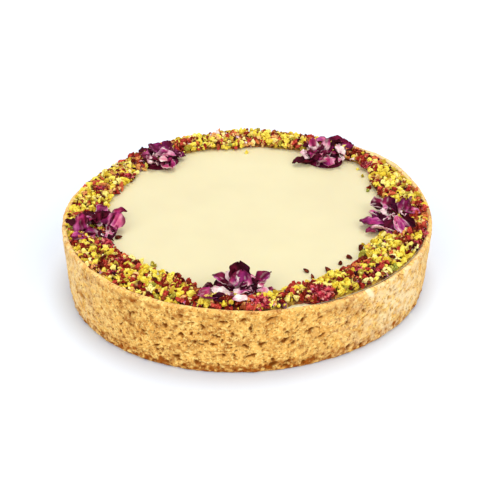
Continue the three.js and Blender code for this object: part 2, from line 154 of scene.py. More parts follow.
# Where a little cream has run over the rim: its middle, its slant in degrees for each mm, and its halves
DRIP = {"degrees": 309.1, "height": 31.5, "slant": 0.38, "half_width": 1.0, "half_height": 4.2}

# Cream: how finely it is divided and how high its waves are
CREAM_COLUMNS = 240
CREAM_ROWS = 46
CREAM_WAVE = 0.22
# How far it reaches into the crust, how far and over what width it climbs there, how far it has sunk
# and how far its under side stays above the base
CREAM_OVERLAP = 0.25
CREAM_CLIMB = 0.2
CLIMB_WIDTH = 1.2
CREAM_SINKING = 0.05
BASE_GAP = 0.3

# Border of crumbs: its outer edge as [angle, share of the radius]. It lies against the crust, but for a
# few gaps.
BORDER_OUTER_EDGE = np.array([
    [0, 0.971], [96, 0.971], [102, 0.95], [113, 0.95], [119, 0.971], [281, 0.971], [284, 0.94],
    [288, 0.94], [290, 0.971], [360, 0.971],
])
# Its inner edge, in the same way
BORDER_INNER_EDGE = np.array([
    [8, 0.8], [15, 0.76], [27, 0.77], [36, 0.86], [45, 0.88], [72, 0.83], [95, 0.81], [112, 0.82],
    [143, 0.78], [155, 0.745], [174, 0.75], [207, 0.77], [220, 0.735], [243, 0.71], [255, 0.77],
    [279, 0.8], [287, 0.74], [294, 0.73], [300, 0.735], [312, 0.74], [322, 0.72], [328, 0.69],
    [335, 0.7],
])
# How much less wide the border is at the front, where its inner slope faces the viewer
FRONT_NARROWING = 0.022
# The bank under the crumbs: how finely it is divided, its height, how far from its outer edge it begins
# to slope, and how deep its edges reach into the cream. Across the border its height follows a half
# turn's sine, from the first share of that turn on, over the second.
BANK_COLUMNS = 620
BANK_ROWS = 22
BANK_HEIGHT = 2.0
BANK_SLOPE_WIDTH = 1.8
BANK_EDGE_DEPTH = 0.4
BANK_SINE = (0.08, 0.64)
# How high crumbs may lie above the cream: in the middle of the border, how much higher at the back, at
# its edges and under petals. Where they lean on the crust, how high they start and how full it is there.
BORDER_TOP = 4.4
BACK_RISE = 0.6
BORDER_EDGE_TOP = 1.9
HEAP_CRUMB_TOP = 2.6
LEANING_TOP = 0.5
LEANING_FULLNESS = 0.7
# At the front the border sinks towards the crust by this share, over this many millimetres
FRONT_SINKING = 0.55
SINKING_WIDTH = 5.0
# A low place at the back left, as (degrees, half width in degrees), the share by which the border is
# lower there, and the share of the rest by which it is lower still against the crust
LOW_PLACE = (140, 26)
LOW_SHARE = 0.42
LOW_SHARE_BY_RIM = 0.6

# How much of the border is nut, as [angle, share by the inner edge, share by the rim]. The rest is berry.
NUT_SHARE = np.array([
    [4, 0.5, 0.4], [10, 0.9, 0.85], [16, 0.35, 0.35], [24, 0.45, 0.95], [32, 0.9, 0.9], [36, 0.3, 0.3],
    [45, 0.2, 0.2], [49, 0.4, 0.5], [66, 0.4, 0.2], [72, 0.85, 0.15], [80, 0.8, 0.1], [84, 0.12, 0.6],
    [92, 0.2, 0.7], [97, 0.6, 0.5], [103, 0.6, 0.1], [108, 0.6, 0.5], [117, 0.6, 0.5], [133, 0.15, 0.2],
    [140, 0.25, 0.35], [144, 0.8, 0.85], [150, 0.25, 0.85], [154, 0.8, 0.8], [158, 0.3, 0.1],
    [165, 0.75, 0.1], [168, 0.75, 0.85], [176, 0.75, 0.9], [180, 0.4, 0.85], [200, 0.2, 0.2],
    [206, 0.1, 0.45], [211, 0.5, 0.9], [217, 0.15, 0.3], [222, 0.2, 0.5], [226, 0.3, 0.35],
    [231, 0.8, 0.3], [236, 0.65, 0.45], [240, 0.5, 0.8], [244, 0.15, 0.75], [250, 0.15, 0.65],
    [256, 0.35, 0.3], [262, 0.3, 0.15],
    [274, 0.3, 0.1], [278, 0.9, 0.95], [281, 0.2, 0.5], [285, 0.95, 0.6], [291, 0.7, 0.05],
    [296, 0.6, 0.3], [299, 0.9, 0.95], [304, 0.9, 0.95], [308, 0.4, 0.65], [318, 0.25, 0.35],
    [322, 0.8, 0.85], [333, 1.0, 1.0], [337, 0.8, 0.2], [342, 0.65, 0.1], [352, 0.3, 0.2],
])

# Crumbs: how many are tried, and the squares on which the height of the pile is kept
CRUMB_TRIES = 30000
FIELD_STEP = 0.4
FIELD_HALF = TART_RADIUS * 1.03
# The share of crumbs that may lie where the border has no height
STRAY_SHARE = 0.12
# Each kind's least and largest size, its stretch along three axes, the rows and columns of its skin,
# its unevenness, its flat cuts, how deep they go, and how wide a place it fills, as a share of its size.
# Petal shreds are small petals, so only their sizes and their place count.
CRUMB_KINDS = {
    "pistachio_pieces": [2.0, 4.2, (1.0, 0.8, 0.66), (7, 10), 1.5, 4, 0.45, 0.42],
    "pistachio_crumbs": [0.8, 2.2, (1.0, 0.8, 0.7), (4, 6), 1.0, 3, 0.45, 0.42],
    "raspberry_pieces": [2.0, 4.4, (1.0, 0.72, 0.5), (7, 10), 1.7, 2, 0.5, 0.4],
    "raspberry_crumbs": [0.8, 2.2, (1.0, 0.8, 0.6), (4, 6), 1.5, 1, 0.6, 0.42],
    "raspberry_seeds": [2.2, 3.5, (1.0, 0.56, 0.46), (6, 8), 0.15, 0, 1.0, 0.28],
    "tan_flakes": [1.2, 3.6, (1.0, 0.75, 0.36), (4, 7), 1.2, 3, 0.45, 0.32],
    "petal_shreds": [3.0, 6.0, (1.0, 1.0, 1.0), (4, 6), 0.0, 0, 1.0, 0.15],
}
# The mix of those kinds where the border is nut, and where it is berry
NUT_MIX = [0.34, 0.46, 0.02, 0.03, 0.05, 0.09, 0.01]
BERRY_MIX = [0.05, 0.12, 0.23, 0.18, 0.16, 0.23, 0.03]
# Where the berry crumbs are browner, as (degrees, half width in degrees), with tones higher by this much
BROWNER_PLACE = (100, 22)
BROWNER_BY = 0.4
# Large broken berries, as [angle, share of the radius, diameter]
LARGE_BERRIES = [
    [274.5, 0.925, 10.5], [293.5, 0.92, 13.0], [207, 0.81, 9.0], [103, 0.93, 7.0], [338, 0.94, 7.0],
    [150, 0.8, 6.0], [12, 0.93, 6.0], [189, 0.86, 6.0], [346, 0.95, 6.5], [311.5, 0.86, 8.5],
    [315.5, 0.92, 8.0], [221, 0.82, 8.0], [225, 0.91, 7.5], [165, 0.87, 8.0], [70, 0.9, 6.5],
    [38, 0.885, 8.0],
]
# How high above the cream the middle of a large berry is, how much lower for each millimetre of its
# diameter, and its middle's three halves as shares of its diameter
BERRY_MIDDLE = 2.6
BERRY_LOWERING = 0.06
BERRY_HALVES = np.array([0.34, 0.28, 0.2])
# How many lobes it has for each millimetre of its diameter, and their stretch
BERRY_LOBES = 7
LOBE_STRETCH = (1.0, 0.42, 0.34)
GOLDEN_ANGLE = math.pi * (3 - math.sqrt(5))
# The share of a large berry's diameter, from its middle, that crumbs stay out of
BERRY_CLEARANCE = 0.3
# Pieces that lie loose on the bare cream, as [angle, share of the radius, size, kind, tone]
LOOSE_PIECES = [
    [34, 0.81, 2.4, "pistachio_pieces", 0.05], [24, 0.765, 3.0, "raspberry_pieces", 0.2],
    [22, 0.74, 2.4, "pistachio_pieces", 0.0],
    [90, 0.75, 2.6, "pistachio_pieces", 0.6], [229, 0.72, 3.4, "pistachio_pieces", 0.05],
    [297.4, 0.66, 3.6, "raspberry_seeds", 0.2], [297.4, 0.725, 3.2, "raspberry_seeds", 0.4],
    [305.5, 0.715, 4.4, "raspberry_seeds", 0.3], [308, 0.74, 2.6, "raspberry_seeds", 0.1],
    [313.2, 0.704, 3.8, "raspberry_seeds", 0.1], [319.5, 0.7, 3.8, "raspberry_seeds", 0.3],
    [328.4, 0.7, 4.2, "raspberry_seeds", 0.2], [201.8, 0.723, 4.0, "raspberry_seeds", 0.1],
    [332, 0.69, 2.4, "pistachio_pieces", 0.1],
    [40, 0.85, 2.0, "pistachio_pieces", 0.5],
]

# How high the middle of a loose piece, and of a seed on the border, lies, as a share of its size, and how
# much thinner a seed is at its one end
LOOSE_LIFT = 0.22
SEED_LIFT = 0.2
SEED_TAPER = 0.4
# Seeds that lie on top of the border, as [angle, share of the radius, length, tone]
TOP_SEEDS = np.array([
    [298, 0.81, 3.4, 0.1], [305.8, 0.915, 3.4, 0.1], [307.4, 0.93, 3.2, 0.3], [324.7, 0.908, 3.6, 0.0],
    [325, 0.945, 3.2, 0.2], [333, 0.948, 3.4, 0.2], [335.5, 0.955, 3.6, 0.0], [303, 0.945, 2.8, 0.4],
    [289, 0.88, 3.4, 0.1], [227, 0.815, 3.2, 0.1], [218, 0.91, 3.4, 0.1], [221, 0.95, 3.0, 0.3],
    [239, 0.87, 3.4, 0.0], [237, 0.95, 3.2, 0.2], [243, 0.955, 3.2, 0.1], [243.3, 0.76, 3.2, 0.2],
    [210, 0.78, 3.0, 0.2],
])

# Petals. A heap has its middle, its core's two halves and height, its turn in degrees, and its petals.
# A petal is [x, y, height above the cream, heading, lean, roll, length, width, tone], angles in degrees,
# and tone runs from wine black at 0 over purple and pink to white at 1.
PETAL_STEPS = (24, 16)
SMALL_PETAL_STEPS = (13, 9)
PETAL_THICKNESS = 0.32
HEAPS = {
    "rose_petals_back_right": {
        "at": (42.0, 61.5), "core": (12.0, 9.5, 3.6), "turn": -35,
        "petals": [
            [38.7, 60.6, 4.6, 265, -12, 0, 13, 13, 0.38], [36.5, 67, 6, 105, 35, 10, 10, 8, 0.75],
            [43.5, 67, 6, 70, 35, -10, 11, 8, 0.72], [32.3, 60.7, 3.6, 100, 20, 20, 9, 7, 0.9],
            [30.8, 56, 2, 190, 3, 0, 13, 6, 0.05], [44.6, 54.2, 3, 270, -10, 0, 10, 9, 0.62],
            [48.4, 55.6, 3, 310, 10, 20, 10, 6, 0.3], [50.3, 61.3, 4.4, 110, 35, 30, 12, 7, 0.97],
            [49.4, 69.5, 5, 60, 28, 0, 11, 9, 0.1], [49.5, 73.6, 6.4, 340, 4, 0, 15, 7, 0.22],
            [42.7, 73.2, 6.2, 150, 12, 0, 11, 8, 0.7], [36, 69, 4.6, 170, 10, 0, 12, 6, 0.15],
            [54.5, 67.5, 5, 20, 18, 0, 11, 9, 0.42],
        ],
    },
    "rose_petals_back_left": {
        "at": (-46.5, 57.5), "core": (11.0, 9.0, 3.6), "turn": 38,
        "petals": [
            [-49.5, 62.4, 5.2, 140, 22, 0, 13, 9, 0.5], [-54, 61.5, 4.8, 205, 14, 10, 12, 6, 0.08],
            [-44, 64.5, 5.6, 80, 24, 0, 13, 9, 0.45], [-44.7, 57, 4.8, 355, 6, 10, 14, 6, 0.78],
            [-43.5, 54.6, 3.4, 280, 8, 0, 11, 9, 0.28], [-53, 56, 4.2, 210, 22, 0, 11, 9, 0.6],
            [-51, 51.4, 2.9, 250, 12, 0, 10, 8, 0.8], [-42.8, 50, 2.6, 320, 4, 0, 12, 8, 0.6],
            [-39, 59.5, 3.4, 20, 22, 0, 9, 8, 0.2], [-36.8, 61.2, 2.4, 10, 5, 0, 8, 5, 0.6],
        ],
    },
    "rose_petals_left": {
        "at": (-72.5, -16.5), "core": (9.5, 13.5, 3.8), "turn": 12,
        "petals": [
            [-64.3, -17.1, 4.4, 60, 35, 0, 13, 10, 0.8], [-64.5, -4.8, 2.8, 20, 14, 0, 11, 7, 0.55],
            [-70.4, -14.6, 5, 100, 38, 0, 12, 11, 0.25], [-80.4, -22, 5.6, 95, 50, 28, 14, 11, 0.55],
            [-84, -19.5, 5, 170, 14, 0, 11, 9, 0.05], [-79.6, -31, 4.8, 220, 14, 0, 12, 8, 0.62],
            [-75.5, -30, 3.8, 300, 8, 0, 10, 6, 0.55], [-77.5, -10.6, 4, 120, 22, 0, 11, 8, 0.2],
            [-72, -5, 3.6, 60, 22, 0, 10, 7, 0.6], [-68.4, -26, 3, 30, 8, 0, 10, 5, 0.8],
            [-74.5, -26.5, 4, 200, 22, 0, 10, 8, 0.4],
        ],
    },
    "rose_petals_front": {
        "at": (-3.8, -73.0), "core": (14.5, 8.0, 4.0), "turn": 0,
        "petals": [
            [-2.8, -68.4, 8, 92, 72, 0, 12.5, 12, 0.12], [-2, -72.2, 6, 80, 52, 0, 12, 12, 0.58],
            [-10.6, -70.8, 5, 160, 32, 0, 12, 9, 0.55], [-6.9, -69.6, 5, 120, 28, 0, 10, 5, 0.97],
            [-11.2, -79.4, 5.0, 165, 6, -42, 10.5, 5.4, 1.0], [-16.6, -82.5, 4.6, 215, 24, -20, 13, 9, 0.5],
            [7, -68.8, 4.8, 20, 28, 0, 13, 9, 0.45], [1.5, -72.8, 3.8, 330, 14, 0, 10, 8, 0.15],
            [-1.4, -77.4, 3.8, 0, 8, 0, 10, 7, 0.85], [-5.5, -80.4, 3.2, 200, 6, 0, 10, 5, 0.8],
            [-2.5, -85.0, 4.5, 190, 6, -30, 8, 4.5, 0.92], [-11, -84, 4.4, 170, 6, -20, 10, 6, 0.1],
        ],
    },
    "rose_petals_right": {
        "at": (72.5, -9.0), "core": (9.5, 14.5, 3.8), "turn": -4,
        "petals": [
            [63, -11.8, 3, 180, 5, 0, 15, 10, 0.5], [76, -19.8, 5.2, 290, -22, 0, 15, 9, 0.8],
            [67.5, 3.4, 3.2, 190, 14, 0, 12, 9, 0.35], [72.2, 4, 4, 80, 26, 0, 11, 9, 0.4],
            [79, -1.7, 5.6, 70, 42, 0, 12, 9, 0.45], [82, -4.4, 4.8, 330, 16, 0, 12, 8, 0.6],
            [79.4, -15.6, 4.6, 300, 18, 36, 13, 8, 0.12], [70.4, -7.7, 5, 140, 14, 0, 11, 5, 0.95],
            [67, -20, 3.6, 340, 0, 0, 14, 6, 0.92], [70.8, -19, 4.2, 45, 28, 0, 9, 9, 0.12],
            [62, -18.6, 1.8, 200, 4, 0, 8, 5, 0.6], [74.4, -2.3, 5, 150, 38, 0, 9, 8, 0.3],
        ],
    },
}
# How large a petal is made, as a share of the length and width in its row
PETAL_SCALE = 0.86
SMALL_PETALS_PER_HEAP = 34
# How far a heap's core stays under its height and inside its halves, and how deep it reaches into the
# cream
CORE_LOWERING = 1.0
CORE_SHARE = 0.92
CORE_DEPTH = 0.3


# Numbers and noise

def chance(index, kind):
    """A repeatable number from 0 to 1: the fractional part of a large sine of two whole numbers."""
    value = np.sin(index * 12.9898 + kind * 78.233) * 43758.5453
    return value - np.floor(value)


def lerp(low, high, share):
    """From low at share 0 to high at share 1, in a straight line."""
    return low + (high - low) * share


def lattice_chance(cell, seed):
    """A number from 0 to 1 for each lattice point: the fractional part of a large sine."""
    value = np.sin(cell @ np.array([127.1, 311.7, 74.7]) + seed * 53.3) * 43758.5453
    return value - np.floor(value)


def noise(points, size, seed):
    """Smooth noise from 0 to 1: the corners of each cell, blended by 3t squared less 2t cubed."""
    scaled = points / size
    base = np.floor(scaled)
    part = scaled - base
    part = part * part * (3 - 2 * part)
    total = 0.0
    for corner in np.ndindex(2, 2, 2):
        weight = np.prod(np.where(corner, part, 1 - part), axis=-1)
        total = total + weight * lattice_chance(base + corner, seed)
    return total


def ridges(points, size, seed):
    """Creased noise from 0 to 1: 1 along winding lines where smooth noise crosses its middle."""
    return 1 - np.abs(2 * noise(points, size, seed) - 1)


def warped(points, size, reach, seed):
    """Points moved about smoothly by up to a reach, so that shapes read from them are irregular."""
    shift = np.stack([noise(points, size, seed + k) for k in range(3)], axis=-1) - 0.5
    return points + 2 * reach * shift


def pits(points, spacing, least, largest, presence, seed):
    """Depth from 0 to 1 of round pits: one place in each cell, with a bowl of 1 less (distance over
    radius) squared, deepest of the 27 cells around each point."""
    base = np.floor(points / spacing)
    deepest = np.zeros(points.shape[:-1])
    for step in np.ndindex(3, 3, 3):
        cell = base + np.array(step) - 1
        middle = np.stack([lattice_chance(cell, seed + k) for k in range(3)], axis=-1)
        radius = lerp(least, largest, lattice_chance(cell, seed + 3))
        there = lattice_chance(cell, seed + 4) < presence
        gap = np.linalg.norm(points - (cell + middle) * spacing, axis=-1)
        bowl = np.clip(1 - (gap / radius) ** 2, 0, 1) * there
        deepest = np.maximum(deepest, bowl)
    return deepest


# The tart's outline

def bell(angle, degrees, half_width):
    """1 at an angle given in degrees, falling off on both sides as e to the minus distance squared."""
    gap = (np.degrees(angle) - degrees + 180) % 360 - 180
    return np.exp(-((gap / half_width) ** 2))


def rim_radius(angle):
    """An oval with three low lobes, and the swells."""
    oval = OVAL_SHARE * np.sin(2 * angle)
    lobes = LOBE_SHARE * np.cos(3 * angle + LOBE_TURN)
    swells = sum(out * bell(angle, degrees, width) for degrees, width, _, out in RIM_SWELLS)
    return TART_RADIUS * (1 + oval + lobes) + swells


def rim_height(angle):
    """The rim rises and falls twice round the tart, and at the swells."""
    swells = sum(up * bell(angle, degrees, width) for degrees, width, up, _ in RIM_SWELLS)
    return RIM_HEIGHT + RIM_SWAY * np.sin(2 * angle) + swells


def wall_radius(angle, z):
    """The wall widens in a straight line from its foot to its rim."""
    return rim_radius(angle) * lerp(FOOT_SHARE, 1, z / RIM_HEIGHT)


def place(angle, radius, z):
    """Points at an angle, a distance from the outline's middle and a height."""
    angle, radius, z = np.broadcast_arrays(angle, radius, z)
    return np.stack([radius * np.cos(angle), radius * np.sin(angle), z], axis=-1) + OUTLINE_SHIFT


def angle_and_share(x, y):
    """The angle in radians and the share of the rim's radius of points on the tart."""
    dx = x - OUTLINE_SHIFT[0]
    dy = y - OUTLINE_SHIFT[1]
    angle = np.arctan2(dy, dx)
    return angle, np.hypot(dx, dy) / rim_radius(angle)


def around(table, angle, column):
    """A value read off a table of [degrees, ...] round the tart, straight from row to row."""
    degrees = np.degrees(angle) % 360
    return np.interp(degrees, table[:, 0], table[:, column], period=360)


# Meshes

def triangles_between(rows, columns, wrap_columns=False, wrap_rows=False):
    """Two triangles for each cell of a grid of rows times columns of points, read row by row."""
    row = np.arange(rows if wrap_rows else rows - 1)
    column = np.arange(columns if wrap_columns else columns - 1)
    row, column = np.meshgrid(row, column, indexing="ij")
    next_row = (row + 1) % rows
    next_column = (column + 1) % columns
    a = row * columns + column
    b = row * columns + next_column
    c = next_row * columns + next_column
    d = next_row * columns + column
    first = np.stack([a, b, c], axis=-1).reshape(-1, 3)
    second = np.stack([a, c, d], axis=-1).reshape(-1, 3)
    return np.concatenate([first, second])


def closed_rings(rings, bottom_pole, top_pole):
    """Points and triangles of a closed skin: a pole, rings of points from the bottom up, and a pole."""
    rows, columns = rings.shape[:2]
    points = np.concatenate([rings.reshape(-1, 3), [bottom_pole, top_pole]])
    first = np.arange(columns)
    following = (first + 1) % columns
    last = (rows - 1) * columns
    bottom = np.stack([np.full(columns, rows * columns), following, first], axis=-1)
    top = np.stack([last + first, last + following, np.full(columns, rows * columns + 1)], axis=-1)
    return points, np.concatenate([triangles_between(rows, columns, wrap_columns=True), bottom, top])


def merged(shapes):
    """Several (points, triangles, values) joined into one: their arrays end to end, indices moved on."""
    starts = np.cumsum([0] + [len(points) for points, _, _ in shapes[:-1]])
    points = np.concatenate([shape[0] for shape in shapes])
    triangles = np.concatenate([shape[1] + start for shape, start in zip(shapes, starts)])
    names = shapes[0][2].keys()
    values = {name: np.concatenate([shape[2][name] for shape in shapes]) for name in names}
    return points, triangles, values


def add_piece(name, shape, material, replaced=(), smooth=True):
    """A finished object: the points in metres, its triangles, its values as point attributes."""
    points, triangles, values = shape
    mesh = bpy.data.meshes.new(name)
    mesh.vertices.add(len(points))
    mesh.vertices.foreach_set("co", (points * MM).astype(np.float32).ravel())
    mesh.loops.add(triangles.size)
    mesh.loops.foreach_set("vertex_index", triangles.astype(np.int32).ravel())
    mesh.polygons.add(len(triangles))
    mesh.polygons.foreach_set("loop_start", np.arange(0, triangles.size, 3, dtype=np.int32))
    mesh.update(calc_edges=True)
    mesh.validate()
    mesh.polygons.foreach_set("use_smooth", np.full(len(triangles), smooth))
    for label, numbers in values.items():
        attribute = mesh.attributes.new(label, "FLOAT", "POINT")
        attribute.data.foreach_set("value", numbers.astype(np.float32))
    mesh.materials.append(material)
    piece = bpy.data.objects.new(name, mesh)
    bpy.context.scene.collection.objects.link(piece)
    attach(piece, "root")
    if replaced:
        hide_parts(*replaced)


def turned(heading, lean, roll):
    """Rotation matrices from a heading about Z, a lean of the front end upwards and a roll."""
    ch, sh = np.cos(heading), np.sin(heading)
    cl, sl = np.cos(lean), np.sin(lean)
    cr, sr = np.cos(roll), np.sin(roll)
    rows = [
        [ch * cl, -sh * cr - ch * sl * sr, sh * sr - ch * sl * cr],
        [sh * cl, ch * cr - sh * sl * sr, -ch * sr - sh * sl * cr],
        [sl, cl * sr, cl * cr],
    ]
    return np.moveaxis(np.array(rows), [0, 1], [-2, -1])


# Materials

# How strongly dry surfaces reflect, where 0.5 is usual
DRY_SPECULAR = 0.06


def srgb(red, green, blue):
    """A colour of the photograph's 0 to 255 scale as linear light."""
    share = np.array([red, green, blue]) / 255
    linear = np.where(share <= 0.04045, share / 12.92, ((share + 0.055) / 1.055) ** 2.4)
    return (*linear.tolist(), 1.0)


class Finish:
    """A material with a Principled shader, and short calls for the nodes that feed it."""

    def __init__(self, name, roughness, specular=0.5):
        self.material = bpy.data.materials.new(name)
        self.material.use_nodes = True
        self.nodes = self.material.node_tree.nodes
        self.links = self.material.node_tree.links
        self.shader = self.nodes["Principled BSDF"]
        self.shader.inputs["Roughness"].default_value = roughness
        self.shader.inputs["Specular IOR Level"].default_value = specular
        self.coordinates = self.nodes.new("ShaderNodeTexCoord").outputs["Object"]

    def noise(self, scale, detail=3.0, roughness=0.55):
        """Soft noise, with so many features in a metre."""
        node = self.nodes.new("ShaderNodeTexNoise")
        node.inputs["Scale"].default_value = scale
        node.inputs["Detail"].default_value = detail
        node.inputs["Roughness"].default_value = roughness
        self.links.new(self.coordinates, node.inputs["Vector"])
        return node.outputs["Fac"]

    def dots(self, scale):
        """The distance to the nearest of many scattered points, as a share of their spacing."""
        node = self.nodes.new("ShaderNodeTexVoronoi")
        node.inputs["Scale"].default_value = scale
        self.links.new(self.coordinates, node.inputs["Vector"])
        return node.outputs["Distance"]

    def value(self, name):
        """One of the values that the piece's points carry."""
        node = self.nodes.new("ShaderNodeAttribute")
        node.attribute_name = name
        return node.outputs["Fac"]

    def run(self, source, stops):
        """Colours from stop to stop over the source's value, each stop as (position, linear colour)."""
        node = self.nodes.new("ShaderNodeValToRGB")
        elements = node.color_ramp.elements
        while len(elements) < len(stops):
            elements.new(0.5)
        for element, (position, color) in zip(elements, stops):
            element.position = position
            element.color = color
        self.links.new(source, node.inputs["Fac"])
        return node.outputs["Color"]

    def ramp(self, source, stops):
        """The same with each stop as (position, red, green, blue) on the photograph's scale."""
        return self.run(source, [(position, srgb(*color)) for position, *color in stops])

    def share(self, source, none_at, most_at, most=1.0):
        """A share that is 0 where the source has one value, and its most where it has another."""
        return self.run(source, sorted([(none_at, (0, 0, 0, 1)), (most_at, (most, most, most, 1))]))

    def mix(self, share, first, second, blend="MIX"):
        """The first colour, and by the share the second instead, or the two multiplied."""
        node = self.nodes.new("ShaderNodeMix")
        node.data_type = "RGBA"
        node.blend_type = blend
        for socket, source in ((node.inputs[0], share), (node.inputs[6], first), (node.inputs[7], second)):
            if isinstance(source, (float, tuple)):
                socket.default_value = source
            else:
                self.links.new(source, socket)
        return node.outputs[2]

    def color(self, source):
        """Makes a colour the surface's own."""
        self.links.new(source, self.shader.inputs["Base Color"])

    def bump(self, source, strength, distance):
        """Fine relief read off a value, with its height in metres."""
        node = self.nodes.new("ShaderNodeBump")
        node.inputs["Strength"].default_value = strength
        node.inputs["Distance"].default_value = distance
        self.links.new(source, node.inputs["Height"])
        self.links.new(node.outputs["Normal"], self.shader.inputs["Normal"])

    def subsurface(self, weight, radius, scale):
        """Light that passes a little way in, with each colour's reach and a scale in metres."""
        self.shader.inputs["Subsurface Weight"].default_value = weight
        self.shader.inputs["Subsurface Radius"].default_value = radius
        self.shader.inputs["Subsurface Scale"].default_value = scale


def baked_pastry():
    """Sandy golden crust: paler grains, fine dark dots, holes and creases darkened as painted shade,
    its brown places, and its pale places, partly painted light on the right and left sides.
    """
    finish = Finish("baked_pastry", 0.85, DRY_SPECULAR)
    coarse = finish.noise(420, 4.0, 0.7)
    sandy = finish.noise(800, 4.0, 0.65)
    crust = finish.ramp(finish.noise(70, 3.0), [(0.3, 231, 167, 78), (0.7, 243, 191, 101)])
    darker = finish.mix(finish.share(coarse, 0.5, 0.36, 0.95), crust, srgb(168, 98, 34))
    speckled = finish.mix(finish.share(sandy, 0.5, 0.62, 0.9), darker, srgb(255, 223, 134))
    # Painted light: the pale value is partly painted light on the right and left sides, partly the paler
    # inner side and the cream run over the rim
    painted_light_and_pale = finish.mix(finish.value("pale"), speckled, srgb(252, 230, 182))
    browned = finish.mix(finish.value("brown"), painted_light_and_pale, srgb(168, 114, 62), "MULTIPLY")
    dotted = finish.mix(finish.share(finish.dots(430), 0.22, 0.1, 0.65), browned, srgb(140, 78, 24))
    # Painted shade: holes and creases are darkened to a deep brown by their share of painted shade
    holed = finish.share(finish.value("pit_depth_and_shade"), 0.25, 0.85)
    finish.color(finish.mix(holed, dotted, srgb(124, 66, 12)))
    finish.bump(sandy, 0.8, 0.0006)
    return finish.material


def set_cream():
    """Smooth pale yellow cream with a soft satin shine."""
    finish = Finish("set_cream", 0.38)
    finish.color(finish.ramp(finish.noise(30, 2.0), [(0.3, 219, 208, 168), (0.7, 223, 213, 172)]))
    finish.subsurface(0.35, (1.0, 0.75, 0.4), 0.003)
    finish.bump(finish.noise(160, 2.0), 0.04, 0.0005)
    return finish.material


def crumb_finish(name, stops, dark_speckle_and_shade, light_speckle_and_highlight, roughness):
    """A finish for one kind of crumb: its colour runs over the stops by each crumb's own tone, with
    dark speckles in the low places of its fine relief, partly painted shade, and light speckles on its
    high places, partly painted highlight."""
    finish = Finish(name, roughness, DRY_SPECULAR)
    own = finish.ramp(finish.value("tone"), stops)
    spots = finish.noise(900, 4.0, 0.65)
    # The same noise raises the fine relief: its low places get painted shade and its high places a painted
    # highlight
    speckled = finish.mix(finish.share(spots, 0.48, 0.34, 0.9), own, srgb(*dark_speckle_and_shade))
    finish.color(finish.mix(finish.share(spots, 0.54, 0.68, 0.85), speckled, srgb(*light_speckle_and_highlight)))
    finish.bump(spots, 0.8, 0.0006)
    return finish


def chopped_nut():
    """Pistachio: olive at tone 0, then golden yellow to pale yellow, a little light passing through."""
    stops = [
        (0.0, 120, 132, 50), (0.1, 190, 158, 44), (0.35, 230, 202, 54),
        (0.75, 250, 233, 98), (1.0, 254, 240, 166),
    ]
    finish = crumb_finish("chopped_pistachio", stops, (184, 136, 32), (255, 246, 126), 0.6)
    finish.subsurface(0.15, (1.0, 1.0, 0.4), 0.001)
    return finish.material


def dried_berry():
    """Raspberry crumbs: dark red at tone 0 over red to a tan orange."""
    stops = [
        (0.0, 82, 12, 2), (0.3, 126, 26, 6), (0.55, 170, 44, 34),
        (0.75, 204, 76, 62), (0.88, 218, 122, 62), (1.0, 240, 186, 112),
    ]
    return crumb_finish("dried_raspberry", stops, (90, 12, 2), (226, 110, 90), 0.65).material


def broken_berry():
    """Large raspberry pieces: wine red at tone 0 over pinkish red to pale pink."""
    stops = [
        (0.0, 92, 8, 20), (0.35, 156, 28, 46), (0.65, 206, 58, 76),
        (0.85, 224, 90, 96), (1.0, 240, 160, 146),
    ]
    return crumb_finish("broken_raspberry", stops, (98, 10, 26), (240, 154, 156), 0.6).material


def berry_seed():
    """Raspberry seeds: nearly black red at tone 0 to reddish brown."""
    stops = [(0.0, 60, 12, 4), (0.5, 102, 28, 10), (1.0, 160, 78, 38)]
    return crumb_finish("raspberry_seed", stops, (58, 14, 4), (160, 76, 46), 0.45).material


def tan_flake():
    """Flakes from brown at tone 0 over tan to pale tan."""
    stops = [(0.0, 170, 98, 42), (0.5, 222, 160, 74), (1.0, 246, 208, 136)]
    return crumb_finish("tan_flake", stops, (150, 90, 40), (255, 226, 160), 0.7).material


def dried_petal():
    """Rose petal: wine to pink by each petal's tone, which carries painted light and shade on its
    creases, more violet in places, mottled, pale and dark where its shape says, the dark partly painted
    shade, with fine veins."""
    finish = Finish("dried_rose_petal", 0.6, DRY_SPECULAR)
    wine = finish.ramp(finish.value("tone"), [
        (0.0, 50, 4, 14), (0.2, 84, 10, 30), (0.45, 130, 24, 66),
        (0.65, 178, 46, 102), (0.82, 216, 112, 144), (1.0, 248, 236, 226),
    ])
    violet = finish.ramp(finish.value("tone"), [
        (0.0, 42, 4, 26), (0.2, 72, 10, 50), (0.45, 116, 30, 92),
        (0.65, 162, 56, 134), (0.82, 206, 118, 170), (1.0, 248, 236, 226),
    ])
    hued = finish.mix(finish.share(finish.noise(130, 1.0), 0.42, 0.6, 0.7), wine, violet)
    patches = finish.share(finish.noise(420, 4.0, 0.65), 0.42, 0.7, 0.7)
    mottled = finish.mix(patches, hued, srgb(190, 130, 160), "MULTIPLY")
    based = finish.mix(finish.value("pale"), mottled, srgb(238, 208, 206))
    # The dark value is partly the petals' own dark rims and partly painted shade
    finish.color(finish.mix(finish.value("dark"), based, srgb(72, 6, 26)))
    finish.bump(finish.value("vein"), 0.35, 0.0004)
    finish.subsurface(0.1, (1.0, 0.3, 0.6), 0.001)
    return finish.material


def bank_painted_shade_finish():
    """The small stuff under the crumbs: nut or berry by place, mottled, and darkened as painted shade for
    the gaps between the crumbs.
    """
    finish = Finish("crumb_bank", 0.8)
    spots = finish.noise(520, 4.0, 0.7)
    # Painted shade: the dark ends of these ramps stand in for the shadow in the gaps between the crumbs
    nut = finish.ramp(spots, [(0.38, 118, 60, 12), (0.62, 214, 180, 62)])
    berry = finish.ramp(spots, [(0.38, 54, 10, 6), (0.62, 150, 58, 34)])
    finish.color(finish.mix(finish.value("nut"), berry, nut))
    finish.bump(spots, 0.8, 0.0008)
    return finish.material


# Baked case

